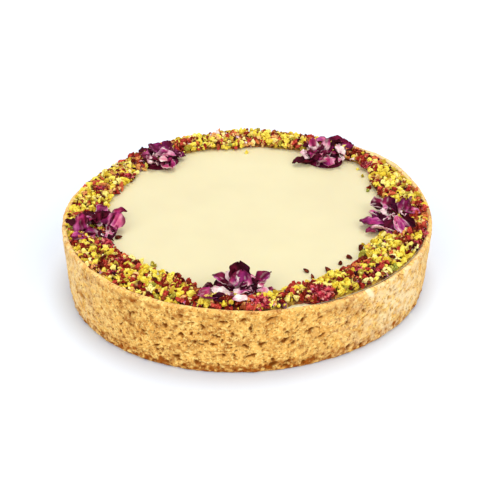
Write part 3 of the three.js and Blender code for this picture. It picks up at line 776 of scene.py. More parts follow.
def wall_holes(points):
    """Depth from 0 to 1 of the holes in the table: for each an oval bowl of 1 less distance squared."""
    angle, _ = angle_and_share(points[..., 0], points[..., 1])
    deepest = np.zeros(points.shape[:-1])
    for degrees, height, half_width, half_height, rise in WALL_HOLES:
        gap = np.radians((np.degrees(angle) - degrees + 180) % 360 - 180) * TART_RADIUS
        above = points[..., 2] - height - rise * gap
        bowl = 1 - (gap / half_width) ** 2 - (above / half_height) ** 2
        deepest = np.maximum(deepest, np.clip(bowl, 0, 1))
    return deepest


def case_relief(points, flat, below_rim):
    """Relief of the crust, and the share of painted shade that darkens its holes and creases. Its bumps
    are noise above a level and stand out up to a limit, both more at the crumbled foot. The holes in the
    table, a few creases and small round holes go in, whichever is deepest, the last two not on the band
    under the rim. Where flat is 0 there is none."""
    holed = np.clip((below_rim - HOLES_BEGIN) / SMOOTH_BAND, 0, 1)
    crumbled = np.clip(1 - points[..., 2] / CRUMBLED_FOOT, 0, 1)
    bumps = sum(
        height * (1 + growth * crumbled) * (noise(points, width, seed) - level)
        for height, width, level, growth, seed in CRUST_BUMPS
    )
    line = np.clip((ridges(warped(points, 2.4, 1.3, 70), 8, 6) - 0.93) / 0.07, 0, 1)
    crease = line * np.clip(4 * noise(points, 11, 7) - 2.3, 0, 1) * holed
    bent = warped(points, 1.5, 0.75, 74)
    angle, _ = angle_and_share(points[..., 0], points[..., 1])
    patchy = noise(points, 11, 5) + 0.4 * bell(angle, *HOLED_PLACE)
    own_holes = wall_holes(bent) ** 0.6
    pitted = np.maximum(CREASE_DEPTH * crease, WALL_HOLE_DEPTH * own_holes)
    # Holes and creases also get a share of painted shade, which darkens their colour
    painted_hole_shade = np.maximum(0.5 * crease, own_holes)
    for number, (spacing, least, largest, depth, presence) in enumerate(PIT_SIZES):
        pit_depth_and_shade = pits(bent * HOLE_SQUASH, spacing, least, largest, presence, 10 + 7 * number)
        pit_depth_and_shade = pit_depth_and_shade**0.65 * holed * np.clip(1.7 * patchy - 0.1, 0, 1)
        pitted = np.maximum(pitted, pit_depth_and_shade * depth)
        painted_hole_shade = np.maximum(painted_hole_shade, pit_depth_and_shade * min(1.0, 0.55 + 0.35 * depth))
    relief = np.minimum(bumps, MOST_OUTWARD + FOOT_OUTWARD * crumbled) - pitted
    return relief * flat, np.clip(painted_hole_shade, 0, 1) * flat


def case_shades(points, below_rim):
    """Where the crust is brown and where it is pale, each from 0 to 1: brown in patches at the foot, in
    a band under the rim and most at the front left; pale in patches at the right and the left, which
    is painted light, on the inner side, and where the cream has run down."""
    angle, share = angle_and_share(points[..., 0], points[..., 1])
    radius = share * rim_radius(angle)
    z = points[..., 2]
    foot = np.clip(1 - z / CRUMBLED_FOOT, 0, 1) ** 0.5 * (4 * noise(points, 1.2, 9) - 1.2)
    front_left = bell(angle, *BROWN_PLACE)
    band = np.exp(-(((below_rim - 3.4) / 1.5) ** 2)) * (0.25 + 0.75 * front_left) * noise(points, 6, 13)
    patches = 0.7 * (noise(points, 6, 12) - 0.5) + (0.7 + 0.6 * front_left) * (noise(points, 1.8, 15) - 0.5)
    brown = np.clip(foot, 0, 1) + band + patches
    inside = np.clip((wall_radius(angle, z) - radius) / WALL_THICKNESS, 0, 1)
    # Painted light: paler patches on the right and left sides stand in for the light that falls on them
    painted_light_sides = 0.95 * bell(angle, *PAINTED_LIGHT_RIGHT) + 0.65 * bell(angle, *PAINTED_LIGHT_LEFT)
    pale = painted_light_sides * np.clip(0.3 + 1.6 * (noise(points, 1.9, 14) - 0.4), 0, 0.8)
    pale = np.maximum(pale, 0.8 * inside * (0.4 + 0.6 * bell(angle, *PALE_INSIDE)))
    slanted = np.degrees(angle) % 360 + DRIP["slant"] * (z - DRIP["height"]) - DRIP["degrees"]
    run = (slanted / DRIP["half_width"]) ** 2 + ((z - DRIP["height"]) / DRIP["half_height"]) ** 2
    pale = np.maximum(pale, np.clip(1.6 - run, 0, 1))
    return np.clip(brown, 0, 1) * (1 - 0.7 * np.clip(pale, 0, 1)), np.clip(pale, 0, 1)


def baked_case():
    """The profile runs from the foot's flat out to its rounded edge, up the wall, over the crest and
    down inside, and is carried round the outline. Relief moves each point along the profile's normal."""
    angle = np.arange(CASE_COLUMNS) * 2 * np.pi / CASE_COLUMNS
    half = WALL_THICKNESS / 2
    crest_level = rim_height(angle) - half + CREST_SWAY * (noise(place(angle, 90, 0), 7, 8) - 0.75)
    rows, normals, reliefs = [], [], []

    def add_row(radius, z, out, up, relief):
        rows.append(place(angle, radius, z))
        normals.append(np.stack([out * np.cos(angle), out * np.sin(angle), up + 0 * angle], axis=-1))
        reliefs.append(np.full(CASE_COLUMNS, relief))

    add_row(wall_radius(angle, 0) - FOOT_FLAT, 0.0, 0, 0, 0)
    for step in range(FOOT_ROWS):
        turn = (step / FOOT_ROWS) * np.pi / 2
        radius = wall_radius(angle, 0) - FOOT_ROUNDING * (1 - math.sin(turn))
        z = FOOT_ROUNDING * (1 - math.cos(turn))
        add_row(radius, z, math.sin(turn), 0, FOOT_RELIEF if step else 0)
    for step in range(CASE_WALL_ROWS + 1):
        z = lerp(FOOT_ROUNDING, crest_level, step / CASE_WALL_ROWS)
        add_row(wall_radius(angle, z), z, 1, 0, 1)
    for step in range(1, CREST_ROWS):
        turn = step * np.pi / CREST_ROWS
        radius = wall_radius(angle, crest_level) - half + half * math.cos(turn)
        z = crest_level + half * math.sin(turn)
        add_row(radius, z, math.cos(turn), math.sin(turn), CREST_RELIEF)
    inner_wall = wall_radius(angle, CREAM_LEVEL) - WALL_THICKNESS
    add_row(inner_wall, CREAM_LEVEL - INNER_ROW_DROP, 0, 0, 0)
    add_row(wall_radius(angle, BASE_THICKNESS) - WALL_THICKNESS, BASE_THICKNESS, 0, 0, 0)
    points, normals, reliefs = np.array(rows), np.array(normals), np.array(reliefs)
    below_rim = crest_level + half - points[..., 2]
    relief, pit_depth_and_shade = case_relief(points, reliefs, below_rim)
    shape, triangles = closed_rings(
        points + normals * relief[..., None], place(0, 0, 0), place(0, 0, BASE_THICKNESS)
    )
    shape = np.clip(shape, np.array(CAD_BOX[0]) / MM, np.array(CAD_BOX[1]) / MM)
    brown, pale = case_shades(points, below_rim)
    values = {
        # The share of painted shade in the holes and creases
        "pit_depth_and_shade": np.append(pit_depth_and_shade.ravel(), [0, 0]),
        "brown": np.append((brown * (reliefs > 0)).ravel(), [0, 0]),
        # Paleness, partly painted light on the right and left sides
        "pale": np.append(pale.ravel(), [0, 0]),
    }
    return shape, triangles, values


# Cream

def cream_disc():
    """A disc that swells in slow low waves and climbs a little where it meets the crust, closed below."""
    angle = np.arange(CREAM_COLUMNS) * 2 * np.pi / CREAM_COLUMNS
    edge = wall_radius(angle, CREAM_LEVEL) - WALL_THICKNESS + CREAM_OVERLAP
    share = np.linspace(1, 0, CREAM_ROWS, endpoint=False)[:, None] ** 0.9
    top = place(angle, edge * share, CREAM_LEVEL)
    climb = CREAM_CLIMB * np.exp((edge * share - edge) / CLIMB_WIDTH)
    top[..., 2] += CREAM_WAVE * (noise(top, 21, 20) - 0.5) + climb - CREAM_SINKING
    bottom = BASE_THICKNESS + BASE_GAP
    under = place(angle, wall_radius(angle, BASE_THICKNESS) - WALL_THICKNESS, bottom)
    rings = np.concatenate([under[None], top])
    middle = place(0, 0, CREAM_LEVEL)
    points, triangles = closed_rings(rings, place(0, 0, bottom), middle)
    return points, triangles, {}


# Border of crumbs

def inner_edge(angle):
    """The border's inner edge at an angle, as a share of the rim's radius, uneven from crumb to crumb."""
    uneven = noise(place(angle, TART_RADIUS, 0), 9, 30) - 0.5
    edge = around(BORDER_INNER_EDGE, angle, 1) * TART_RADIUS / rim_radius(angle)
    return edge + FRONT_NARROWING * (1 - np.sin(angle)) + 0.03 * uneven


def outer_edge(angle):
    """The border's outer edge at an angle, as a share of the rim's radius."""
    return around(BORDER_OUTER_EDGE, angle, 1)


def in_heap(heap, x, y, margin):
    """1 at the middle of a heap's oval and 0 at its edge, less outside."""
    turn = math.radians(heap["turn"])
    dx = x - heap["at"][0] - OUTLINE_SHIFT[0]
    dy = y - heap["at"][1] - OUTLINE_SHIFT[1]
    along = (dx * math.cos(turn) + dy * math.sin(turn)) / (heap["core"][0] + margin)
    across = (dy * math.cos(turn) - dx * math.sin(turn)) / (heap["core"][1] + margin)
    return 1 - np.hypot(along, across)


def deepest_in_heaps(x, y, margin):
    """The same for whichever heap a place is deepest in."""
    return np.max([in_heap(heap, x, y, margin) for heap in HEAPS.values()], axis=0)


def sinking(angle, share):
    """1 where the border is at its full height, less towards the rim at the front, and less in the low
    place at the back left, least of all by the rim."""
    by_rim = 1 - np.clip((outer_edge(angle) - share) * TART_RADIUS / SINKING_WIDTH, 0, 1)
    front = 1 - FRONT_SINKING * by_rim * (1 - np.sin(angle)) / 2
    lower = LOW_SHARE + LOW_SHARE_BY_RIM * (1 - LOW_SHARE) * by_rim
    return front * (1 - lower * bell(angle, *LOW_PLACE))


def bank_share(x, y):
    """How full the border is at a place: 0 outside it, rising from its inner edge, a little lower by
    the rim, as a share of its full height."""
    angle, share = angle_and_share(x, y)
    inner = inner_edge(angle)
    across = (share - inner) / (outer_edge(angle) - inner)
    start, span = BANK_SINE
    body = np.sin(np.pi * np.clip(start + span * across, 0, 1))
    return np.where((across >= 0) & (across <= 1), body * sinking(angle, share), 0)


def bank_level(x, y):
    """The height of the bank under the crumbs, above the cream: low beneath the heaps of petals, and
    sloping down to nothing at its outer edge."""
    angle, share = angle_and_share(x, y)
    slope = np.clip((outer_edge(angle) - share) * TART_RADIUS / BANK_SLOPE_WIDTH, 0, 1)
    low = np.clip(deepest_in_heaps(x, y, 3) * 4, 0, 1)
    return BANK_HEIGHT * bank_share(x, y) * slope * (1 - 0.55 * low)


def nut_share(x, y):
    """How likely a crumb is nut: read off the table, with clumps."""
    angle, share = angle_and_share(x, y)
    inner = inner_edge(angle)
    across = np.clip((share - inner) / (outer_edge(angle) - inner), 0, 1)
    known = lerp(around(NUT_SHARE, angle, 1), around(NUT_SHARE, angle, 2), across)
    spot = np.stack([x, y, 0 * x], axis=-1)
    return np.clip(0.62 + 1.6 * (known - 0.5) + 1.1 * (noise(spot, 4.5, 40) - 0.5), 0.03, 0.97)


def crumb_bank():
    """A low bumpy ring: across it the bank's height, with bumps the size of crumbs, closed below."""
    angle = np.arange(BANK_COLUMNS) * 2 * np.pi / BANK_COLUMNS
    inner = inner_edge(angle) + 0.012
    across = np.concatenate([[1], np.linspace(1, 0, BANK_ROWS - 2), [0]])[:, None]
    top = place(angle, rim_radius(angle) * lerp(inner, outer_edge(angle), across), 0)
    bumps = 0.6 * (noise(top, 1.6, 31) - 0.75) + 0.4 * (noise(top, 3.2, 32) - 0.6)
    level = bank_level(top[..., 0], top[..., 1])
    top[..., 2] = CREAM_LEVEL + np.maximum(level + bumps * np.clip(level, 0, 1), 0.02)
    top[[0, -1], :, 2] = CREAM_LEVEL - BANK_EDGE_DEPTH
    triangles = triangles_between(BANK_ROWS, BANK_COLUMNS, wrap_columns=True, wrap_rows=True)
    nut = nut_share(top[..., 0], top[..., 1])
    return top.reshape(-1, 3), triangles, {"nut": nut.ravel()}


def ball(rows, columns):
    """A closed unit ball: rings of points at even steps from pole to pole."""
    polar = np.arange(1, rows) * np.pi / rows
    turn = np.arange(columns) * 2 * np.pi / columns
    polar, turn = np.meshgrid(np.pi - polar, turn, indexing="ij")
    rings = np.stack([np.sin(polar) * np.cos(turn), np.sin(polar) * np.sin(turn), np.cos(polar)], axis=-1)
    return closed_rings(rings, np.array([0, 0, -1.0]), np.array([0, 0, 1.0]))


def rough_lumps(count, seed, skin, unevenness, cuts, cut_depth):
    """Several balls, each swollen by broad and fine noise and cut flat by a few planes: points beyond a
    plane are brought back to it."""
    points, triangles = ball(*skin)
    apart = points[None] + 7.3 * np.arange(count)[:, None, None]
    swell = unevenness * (noise(apart, 0.9, seed) - 0.5 + 0.6 * (noise(apart, 0.42, seed + 5) - 0.5))
    shapes = points[None] * (1 + swell)[..., None]
    for cut in range(cuts):
        index = np.arange(count) + 100 * cut
        up = 2 * chance(index, seed + 1) - 1
        turn = 2 * np.pi * chance(index, seed + 2)
        flat = np.sqrt(1 - up * up)
        normal = np.stack([flat * np.cos(turn), flat * np.sin(turn), up], axis=-1)
        depth = lerp(cut_depth, 1.0, chance(index, seed + 3))
        beyond = np.einsum("nvk,nk->nv", shapes, normal) - depth[:, None]
        shapes = shapes - np.clip(beyond, 0, None)[..., None] * normal[:, None]
    return shapes, triangles


def random_turns(count, seed):
    """Rotations drawn evenly over all directions: the sine of the lean is even from -1 to 1."""
    index = np.arange(count)
    heading = 2 * np.pi * chance(index, seed)
    lean = np.arcsin(2 * chance(index, seed + 1) - 1)
    return turned(heading, lean, 2 * np.pi * chance(index, seed + 2))


def laid_shapes(shapes, triangles, at, size, stretch, turns, tone):
    """Copies laid at their places: each shape stretched, scaled, turned and moved, all as arrays."""
    count, corners = shapes.shape[:2]
    scaled = shapes * (np.array(stretch) * 0.5) * size[:, None, None]
    points = np.einsum("nij,nvj->nvi", turns, scaled) + at[:, None]
    faces = triangles[None] + corners * np.arange(count)[:, None, None]
    return points.reshape(-1, 3), faces.reshape(-1, 3), {"tone": np.repeat(tone, corners)}


def border_grid():
    """Small squares over the tart: their x and y, the height of what lies on the cream there, and the
    height that crumbs may reach. Crumbs lean on the crust, and stay out of the large berries."""
    steps = np.arange(-FIELD_HALF, FIELD_HALF, FIELD_STEP)
    x, y = np.meshgrid(steps, steps, indexing="ij")
    angle, share = angle_and_share(x, y)
    by_the_rim = (share > outer_edge(angle) - 0.005) & (outer_edge(angle) > 0.97)
    height = np.where(by_the_rim, LEANING_TOP, bank_level(x, y))
    full = np.where(by_the_rim, LEANING_FULLNESS * sinking(angle, share), bank_share(x, y))
    for degrees, berry_share, size in LARGE_BERRIES:
        middle = place(np.radians(degrees), berry_share * rim_radius(np.radians(degrees)), 0)
        under = np.hypot(x - middle[0], y - middle[1]) < BERRY_CLEARANCE * size
        height = np.where(under, BORDER_TOP, height)
    highest = BORDER_TOP + BACK_RISE * np.clip(np.sin(angle), 0, 1)
    top = lerp(BORDER_EDGE_TOP * sinking(angle, share), highest, full) * (full > 0)
    heaped = deepest_in_heaps(x, y, 1.0) > 0
    return x, y, height, np.where(heaped, np.minimum(top, HEAP_CRUMB_TOP), top)


def crumb_draws():
    """Crumbs before they are dropped: place, kind, size, tone and half width. They lie evenly round the
    border and closer together towards the crust. Each is nut or berry by the table and of a kind by
    its mix, and small crumbs are many more than large ones."""
    index = np.arange(CRUMB_TRIES)
    angle = 2 * np.pi * chance(index, 50)
    share = lerp(inner_edge(angle) - 0.008, outer_edge(angle), chance(index, 51) ** 0.8)
    at = place(angle, share * rim_radius(angle), 0)
    nutty = chance(index, 52) < nut_share(at[:, 0], at[:, 1])
    limits = np.where(nutty[:, None], np.cumsum(NUT_MIX), np.cumsum(BERRY_MIX))
    kind = np.minimum((chance(index, 53)[:, None] > limits).sum(axis=1), len(CRUMB_KINDS) - 1)
    least, largest, *_, fill = (np.array(column) for column in zip(*CRUMB_KINDS.values()))
    size = lerp(least[kind], largest[kind], chance(index, 54) ** 2.2)
    browner = np.where(nutty, 0, BROWNER_BY * bell(angle, *BROWNER_PLACE))
    tone = np.clip(chance(index, 55) + browner, 0, 1)
    share = np.minimum(share, outer_edge(angle) - 0.3 * size / TART_RADIUS)
    return place(angle, share * rim_radius(angle), 0), kind, size, tone, size * fill[kind]


def crumb_field():
    """Crumbs dropped one by one on the bank, the largest first. Each comes to rest on the height of what
    lies under it and raises it by a low dome, and is left out where the border is already full. The
    seeds in the table are laid on top of them all."""
    grid_x, grid_y, height, full_top = border_grid()
    at, kind, size, tone, half_width = crumb_draws()
    x, y = at[:, 0], at[:, 1]
    kept = []
    for number in np.argsort(-size, kind="stable"):
        radius = half_width[number]
        column = int((x[number] + FIELD_HALF) / FIELD_STEP)
        row = int((y[number] + FIELD_HALF) / FIELD_STEP)
        reach = max(1, int(radius / FIELD_STEP))
        window = (slice(column - reach, column + reach + 1), slice(row - reach, row + reach + 1))
        ground = height[window]
        if full_top[column, row] == 0 and chance(number, 56) > STRAY_SHARE:
            continue
        rest = lerp(ground.mean(), ground.max(), 0.3)
        if rest + 0.5 * radius > max(full_top[column, row], 0.4 * radius + 0.1):
            continue
        gap = np.hypot(grid_x[window] - x[number], grid_y[window] - y[number])
        dome = rest + 0.55 * radius + 0.8 * np.sqrt(np.clip(radius**2 - gap**2, 0, None))
        height[window] = np.where(gap < radius, np.maximum(ground, dome), ground)
        at[number, 2] = CREAM_LEVEL + rest + 0.6 * radius
        kept.append(number)
    kept = np.sort(kept)
    seeds = place(np.radians(TOP_SEEDS[:, 0]), TOP_SEEDS[:, 1] * TART_RADIUS, CREAM_LEVEL)
    cells = ((seeds[:, :2] + FIELD_HALF) / FIELD_STEP).astype(int)
    seeds[:, 2] += height[cells[:, 0], cells[:, 1]] + SEED_LIFT * TOP_SEEDS[:, 2]
    seed_kind = np.full(len(seeds), list(CRUMB_KINDS).index("raspberry_seeds"))
    return (
        np.concatenate([at[kept], seeds]), np.concatenate([kind[kept], seed_kind]),
        np.concatenate([size[kept], TOP_SEEDS[:, 2]]), np.concatenate([tone[kept], TOP_SEEDS[:, 3]]),
    )


def loose_pieces(name):
    """The places, sizes and tones of the pieces of one kind that lie loose on the cream."""
    own = [row for row in LOOSE_PIECES if row[3] == name]
    angle = np.radians([row[0] for row in own])
    radius = np.array([row[1] for row in own]) * TART_RADIUS
    size = np.array([row[2] for row in own])
    return place(angle, radius, CREAM_LEVEL + LOOSE_LIFT * size), size, np.array([row[4] for row in own])


def crumb_piece(name, field):
    """All the crumbs of one kind as one shape, with the loose ones on the cream. Seeds are thinner
    towards one end."""
    at, kind, size, tone = field
    number = list(CRUMB_KINDS).index(name)
    _, _, stretch, skin, unevenness, cuts, cut_depth, _ = CRUMB_KINDS[name]
    own = kind == number
    loose_at, loose_size, loose_tone = loose_pieces(name)
    places = np.concatenate([at[own], loose_at])
    sizes = np.concatenate([size[own], loose_size])
    tones = np.concatenate([tone[own], loose_tone])
    shapes, triangles = rough_lumps(len(places), 60 + 10 * number, skin, unevenness, cuts, cut_depth)
    if name == "raspberry_seeds":
        shapes[..., 1:] *= 1 - SEED_TAPER * shapes[..., :1]
    turns = random_turns(len(places), 90 + 10 * number)
    return laid_shapes(shapes, triangles, places, sizes, stretch, turns, tones)


def large_berries():
    """Broken berries: thin lumps that stand out on all sides of a flattened middle, at even steps of
    the golden angle round it and from its top down. Each is pink or dark by its own tone."""
    shapes = []
    for number, (degrees, share, size) in enumerate(LARGE_BERRIES):
        count = int(BERRY_LOBES * size)
        index = np.arange(count)
        up = 1 - 1.3 * (index + 0.5) / count
        turn = index * GOLDEN_ANGLE
        flat = np.sqrt(1 - up * up)
        outward = np.stack([flat * np.cos(turn), flat * np.sin(turn), up], axis=-1)
        middle = place(math.radians(degrees), share * rim_radius(math.radians(degrees)), 0)
        middle[2] = CREAM_LEVEL + BERRY_MIDDLE - BERRY_LOWERING * size
        places = middle + outward * BERRY_HALVES * size
        seed = 131 + 10 * number
        heading = turn + 0.9 * (chance(index, seed) - 0.5)
        lean = 0.7 * np.arcsin(up) + 0.5 * (chance(index, seed + 1) - 0.5)
        turns = turned(heading, lean, 2 * np.pi * chance(index, seed + 2))
        lengths = size * lerp(0.22, 0.42, chance(index, seed + 3))
        lobes, triangles = rough_lumps(count, seed + 4, (6, 7), 1.2, 1, 0.6)
        tone = chance(index, seed + 5) ** 1.3
        shapes.append(laid_shapes(lobes, triangles, places, lengths, LOBE_STRETCH, turns, tone))
    return merged(shapes)


# Petals

def petal_faces(along, across):
    """Triangles of a petal's upper grid and of its under grid, and the band round the edge between."""
    count = along * across
    upper = triangles_between(along, across)
    edge = np.concatenate([
        np.arange(across), np.arange(1, along) * across + across - 1,
        (along - 1) * across + np.arange(across - 2, -1, -1), np.arange(along - 2, 0, -1) * across,
    ])
    following = np.roll(edge, -1)
    side = np.concatenate([
        np.stack([edge, edge + count, following + count], axis=-1),
        np.stack([edge, following + count, following], axis=-1),
    ])
    return np.concatenate([upper[:, ::-1], upper + count, side[:, ::-1]])


def petal_shades(s, t, half, reach, spot, wrinkle, tone, number, seed):
    """A petal's tone, paleness, darkness and veins from 0 to 1. Its tone is painted lighter on the
    ridges of its creases and darker in their folds, varies at random and falls a little towards the
    tip. Pale are streaks, and on some petals the base, the rim or the under face. Dark are patches of
    painted shade, and on some petals the rim. Veins are a sine from side to side."""
    rim = np.clip(np.maximum(np.abs(t), s**3) - 0.75, 0, 1) * 4
    streak_spot = np.stack([0.3 * reach + 13 * number, 1.6 * half * t, 0 * reach + seed], axis=-1)
    streaks = np.clip((noise(streak_spot, 0.9, 145) - 0.7) / 0.15, 0, 1) * (tone > 0.3)
    light_rim = np.clip(2 * rim - 1, 0, 1) * (chance(number, seed + 12) < 0.35) * (tone > 0.25)
    base = np.clip(1.15 - 2.6 * s, 0, 1) * (chance(number, seed + 9) < 0.6) * (tone > 0.3) + 0 * t
    pale = np.clip(0.85 * base + 0.4 * streaks + 0.6 * light_rim, 0, 1)
    pale_side = 0.35 * (chance(number, seed + 10) < 0.5) * (tone > 0.4)
    # Painted shade: dark patches laid in as if in the petal's hollows
    painted_shade_patches = np.clip((0.4 - noise(spot, 3.2, 146)) / 0.14, 0, 1) * (tone < 0.9)
    dark = 0.75 * np.clip(rim, 0, 1) * (chance(number, seed + 11) < 0.6) * (tone < 0.75) + 0 * s
    dark = np.clip(np.maximum(dark * (1 - light_rim), 0.7 * painted_shade_patches), 0, 1)
    vein = 0.5 + 0.5 * np.sin(26 * t * (1 - 0.4 * s))
    # Painted light and shade: the tone is raised on the crease ridges and lowered in the folds, with random
    # mottling
    painted_crease_light_and_mottling = 0.35 * (wrinkle - 0.75) + 0.6 * (noise(spot, 2.2, 144) - 0.5) - 0.1 * (s - 0.5)
    shade = tone + painted_crease_light_and_mottling * (1 - 0.8 * tone**6)
    return {
        "tone": np.tile(np.clip(shade, 0, 1).ravel(), 2),
        "pale": np.concatenate([pale.ravel(), np.clip(pale + pale_side, 0, 1).ravel()]),
        "dark": np.tile(dark.ravel(), 2),
        "vein": np.tile(vein.ravel(), 2),
    }


def petal_shape(row, number, seed, steps):
    """A dried petal over s from base to tip and t from side to side: it is narrow at its base and widest
    past the middle, its sides are cupped, its length is curled, its rim is wavy and rolled, and noise
    creases it. The under face is the same a petal's thickness lower."""
    x, y, rise, heading, lean, roll, length, width, tone = row
    length, width = PETAL_SCALE * length, PETAL_SCALE * width
    along, across = steps
    s = np.linspace(0, 1, along)[:, None]
    t = np.linspace(-1, 1, across)[None]
    draws = chance(number, seed + np.arange(8))
    curl = math.radians(lerp(30, 75, chance(number, 61)))
    fullness = np.sin(np.pi * s**1.15) ** 0.7
    ragged = 1 + 0.5 * (noise(np.stack([5 * s + 9 * number, 0 * s, 0 * s + seed], axis=-1), 1, 140) - 0.5)
    half = 0.5 * width * lerp(lerp(0.25, 0.08, s), 1, fullness) * ragged
    bend = curl * (s - 0.5)
    reach = length * (s - 0.5) + 0 * t
    notch = 0.05 * length * s**6 * np.cos(3.2 * t + 4 * draws[0])
    cup = lerp(0.2, 0.5, draws[1]) * half * t * t
    edge_roll = lerp(-0.5, 0.6, draws[2]) * half * np.clip(np.abs(t) - 0.55, 0, 1) ** 1.5 * 2
    pleats = 0.045 * width * s * np.sin(lerp(4, 8, draws[3]) * t + 6 * draws[4])
    twist = lerp(-0.35, 0.35, draws[5]) * half * t * (s - 0.3)
    droop = 0.5 * length * (1 - np.cos(bend))
    spot = np.stack([0.5 * reach + 31 * number, half * t, 0 * reach + seed], axis=-1)
    wrinkle = ridges(spot, 2.4, 141)
    fine_wrinkle = ridges(spot, 1.1, 142)
    creases = 1.9 * (wrinkle - 0.6) + 0.8 * (fine_wrinkle - 0.6) + 1.8 * (noise(spot, 4.0, 143) - 0.5)
    top = np.stack([
        (reach + notch) * np.cos(bend * 0.5),
        half * t * (1 - 0.12 * np.abs(edge_roll) / (half + 0.1)) + 0 * s,
        cup + edge_roll + pleats + twist + creases - droop + PETAL_THICKNESS / 2,
    ], axis=-1)
    under = top - [0, 0, PETAL_THICKNESS]
    turn = turned(math.radians(heading), math.radians(lean), math.radians(roll))
    at = np.array([x, y, CREAM_LEVEL + rise]) + OUTLINE_SHIFT
    points = np.concatenate([top.reshape(-1, 3), under.reshape(-1, 3)]) @ turn.T + at
    shades = petal_shades(s, t, half, reach, spot, wrinkle, tone, number, seed)
    return points, petal_faces(along, across), shades


def heap_place(heap, along, across, shift=(0.0, 0.0)):
    """X and Y of a place given along a heap's oval and across it: turned by the heap's turn and moved
    to its middle, shifted."""
    turn = math.radians(heap["turn"])
    x = heap["at"][0] + shift[0] + along * math.cos(turn) - across * math.sin(turn)
    y = heap["at"][1] + shift[1] + along * math.sin(turn) + across * math.cos(turn)
    return x, y


def small_petal_rows(heap, seed):
    """Small petals and scraps over a heap: drawn inside its oval, lower towards its edge."""
    rows = []
    for number in range(SMALL_PETALS_PER_HEAP):
        draws = chance(number, seed + np.arange(9))
        angle = 2 * np.pi * draws[0]
        share = math.sqrt(draws[1]) * 1.05
        along = heap["core"][0] * share * math.cos(angle)
        across = heap["core"][1] * share * math.sin(angle)
        x, y = heap_place(heap, along, across)
        rise = lerp(1.4, 4.6, math.sqrt(max(0.0, 1 - share**2))) + 1.2 * draws[2]
        length = lerp(3.5, 7.5, draws[3])
        tone = draws[4] ** 1.6
        rows.append([
            x, y, rise, 360 * draws[5], lerp(-12, 38, draws[6]), lerp(-30, 30, draws[7]),
            length, length * lerp(0.45, 0.85, draws[8]), tone,
        ])
    return rows


def heap_core(heap):
    """A low bumpy mound under the petals: the upper half of a flattened ball, with bumps, closed below."""
    rows, columns = 8, 40
    turn = np.arange(columns) * 2 * np.pi / columns
    share = np.sin(np.linspace(np.pi / 2, 0.12, rows))[:, None]
    halves = heap["core"]
    height = halves[2] - CORE_LOWERING
    along = halves[0] * share * np.cos(turn) * CORE_SHARE
    across = halves[1] * share * np.sin(turn) * CORE_SHARE
    x, y = heap_place(heap, along, across, OUTLINE_SHIFT)
    spot = np.stack([x, y, 0 * x], axis=-1)
    lift = height * np.sqrt(np.clip(1 - share**2, 0, 1)) + 0.9 * (noise(spot, 2.2, 150) - 0.5)
    rings = np.stack([x, y, CREAM_LEVEL + np.maximum(lift, -CORE_DEPTH)], axis=-1)
    rings[0, :, 2] = CREAM_LEVEL - CORE_DEPTH
    middle = np.array([*heap["at"], CREAM_LEVEL]) + OUTLINE_SHIFT
    points, triangles = closed_rings(rings, middle - [0, 0, CORE_DEPTH], middle + [0, 0, height])
    count = len(points)
    values = {
        "tone": 0.1 + 0.35 * noise(points, 2.0, 151), "pale": np.zeros(count),
        "dark": np.full(count, 0.3), "vein": noise(points, 0.8, 152),
    }
    return points, triangles, values


def heap_of_petals(heap, seed):
    """A heap's core, the petals in its table and its small petals, joined."""
    rows = heap["petals"] + small_petal_rows(heap, seed)
    own = len(heap["petals"])
    shapes = [
        petal_shape(row, number, seed, PETAL_STEPS if number < own else SMALL_PETAL_STEPS)
        for number, row in enumerate(rows)
    ]
    return merged([heap_core(heap), *shapes])


def border_shreds(field):
    """Shreds of petal among the crumbs: small narrow petals at the places the field gives."""
    at, kind, size, tone = field
    own = np.flatnonzero(kind == list(CRUMB_KINDS).index("petal_shreds"))
    shapes = []
    for number, (spot, length, shade) in enumerate(zip(at[own], size[own], tone[own])):
        x, y = spot[:2] - OUTLINE_SHIFT[:2]
        lean = lerp(-10, 30, chance(number, 161))
        roll = lerp(-40, 40, chance(number, 162))
        width = length * lerp(0.35, 0.7, chance(number, 163))
        heading = 360 * chance(number, 160)
        row = [x, y, spot[2] - CREAM_LEVEL, heading, lean, roll, length, width, shade**1.7]
        shapes.append(petal_shape(row, number, 170, SMALL_PETAL_STEPS))
    return merged(shapes)


# Stage

def photograph_camera():
    """The camera looks down at the tart from the front, turned by the fitted yaw, pitch and roll."""
    down = CAMERA_ELEVATION
    middle = Vector((OUTLINE_SHIFT[0], OUTLINE_SHIFT[1], RIM_HEIGHT / 2)) * MM
    position = middle + Vector((0, -math.cos(down), math.sin(down))) * CAMERA_DISTANCE * MM
    level = Matrix((
        (1, 0, 0), (0, math.sin(down), math.cos(down)), (0, math.cos(down), -math.sin(down)),
    ))
    cu, su = math.cos(CAMERA_YAW), math.sin(CAMERA_YAW)
    cv, sv = math.cos(CAMERA_PITCH), math.sin(CAMERA_PITCH)
    cr, sr = math.cos(CAMERA_ROLL), math.sin(CAMERA_ROLL)
    yaw = Matrix(((cu, 0, -su), (0, 1, 0), (su, 0, cu)))
    pitch = Matrix(((1, 0, 0), (0, cv, -sv), (0, sv, cv)))
    roll = Matrix(((cr, -sr, 0), (sr, cr, 0), (0, 0, 1)))
    right, up, forward = roll @ pitch @ yaw @ level
    data = bpy.data.cameras.new("photograph_camera")
    data.lens = CAMERA_LENS
    data.sensor_width = SENSOR_WIDTH
    camera = bpy.data.objects.new("photograph_camera", data)
    columns = Matrix((right, up, -forward)).transposed()
    camera.matrix_world = Matrix.Translation(position) @ columns.to_4x4()
    bpy.context.scene.collection.objects.link(camera)
    bpy.context.scene.camera = camera


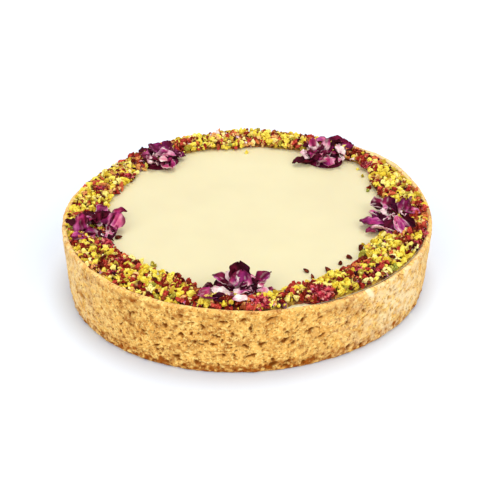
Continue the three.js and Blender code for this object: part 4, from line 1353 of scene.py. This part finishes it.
def pale_floor():
    """One large square under the tart."""
    finish = Finish("pale_floor", 0.9)
    finish.shader.inputs["Base Color"].default_value = FLOOR_TINT
    mesh = bpy.data.meshes.new("floor")
    reach = FLOOR_REACH
    corners = [(-reach, -reach, 0), (reach, -reach, 0), (reach, reach, 0), (-reach, reach, 0)]
    mesh.from_pydata(corners, [], [(0, 1, 2, 3)])
    mesh.materials.append(finish.material)
    floor = bpy.data.objects.new("floor", mesh)
    bpy.context.scene.collection.objects.link(floor)


def studio():
    """A white room, a soft light from high up behind, and two softer ones in front to the sides."""
    scene = bpy.context.scene
    scene.view_settings.view_transform = "Standard"
    world = bpy.data.worlds.new("studio")
    world.use_nodes = True
    background = world.node_tree.nodes["Background"]
    background.inputs["Color"].default_value = ROOM_TINT
    background.inputs["Strength"].default_value = ROOM_LIGHT
    scene.world = world
    for name, (strength, spread, source) in LAMPS.items():
        data = bpy.data.lights.new(name, "SUN")
        data.energy = strength
        data.angle = spread
        data.color = LAMP_TINT
        light = bpy.data.objects.new(name, data)
        light.rotation_euler = (-Vector(source)).to_track_quat("-Z", "Y").to_euler()
        scene.collection.objects.link(light)


# Build

photograph_camera()
studio()
pale_floor()

add_piece("baked_case", baked_case(), baked_pastry(), ["pastry_shell"])
add_piece("set_cream_disc", cream_disc(), set_cream(), ["cream_filling"])
# The bank's dark colour is partly painted shade in the gaps between the crumbs
add_piece("crumb_bank", crumb_bank(), bank_painted_shade_finish(), ["crumb_border"])

border_field = crumb_field()
nut_finish = chopped_nut()
berry_finish = dried_berry()
petal_finish = dried_petal()
crumb_finishes = {
    "pistachio_pieces": nut_finish,
    "pistachio_crumbs": nut_finish,
    "raspberry_pieces": berry_finish,
    "raspberry_crumbs": berry_finish,
    "raspberry_seeds": berry_seed(),
    "tan_flakes": tan_flake(),
}
for kind, finish in crumb_finishes.items():
    add_piece(kind, crumb_piece(kind, border_field), finish, smooth=kind == "raspberry_seeds")
add_piece("large_raspberry_pieces", large_berries(), broken_berry(), smooth=False)
add_piece("border_petal_shreds", border_shreds(border_field), petal_finish)
for number, (node, heap) in enumerate(HEAPS.items()):
    piece_name = node.replace("rose_petals", "petal_heap")
    add_piece(piece_name, heap_of_petals(heap, 200 + 20 * number), petal_finish, [node])
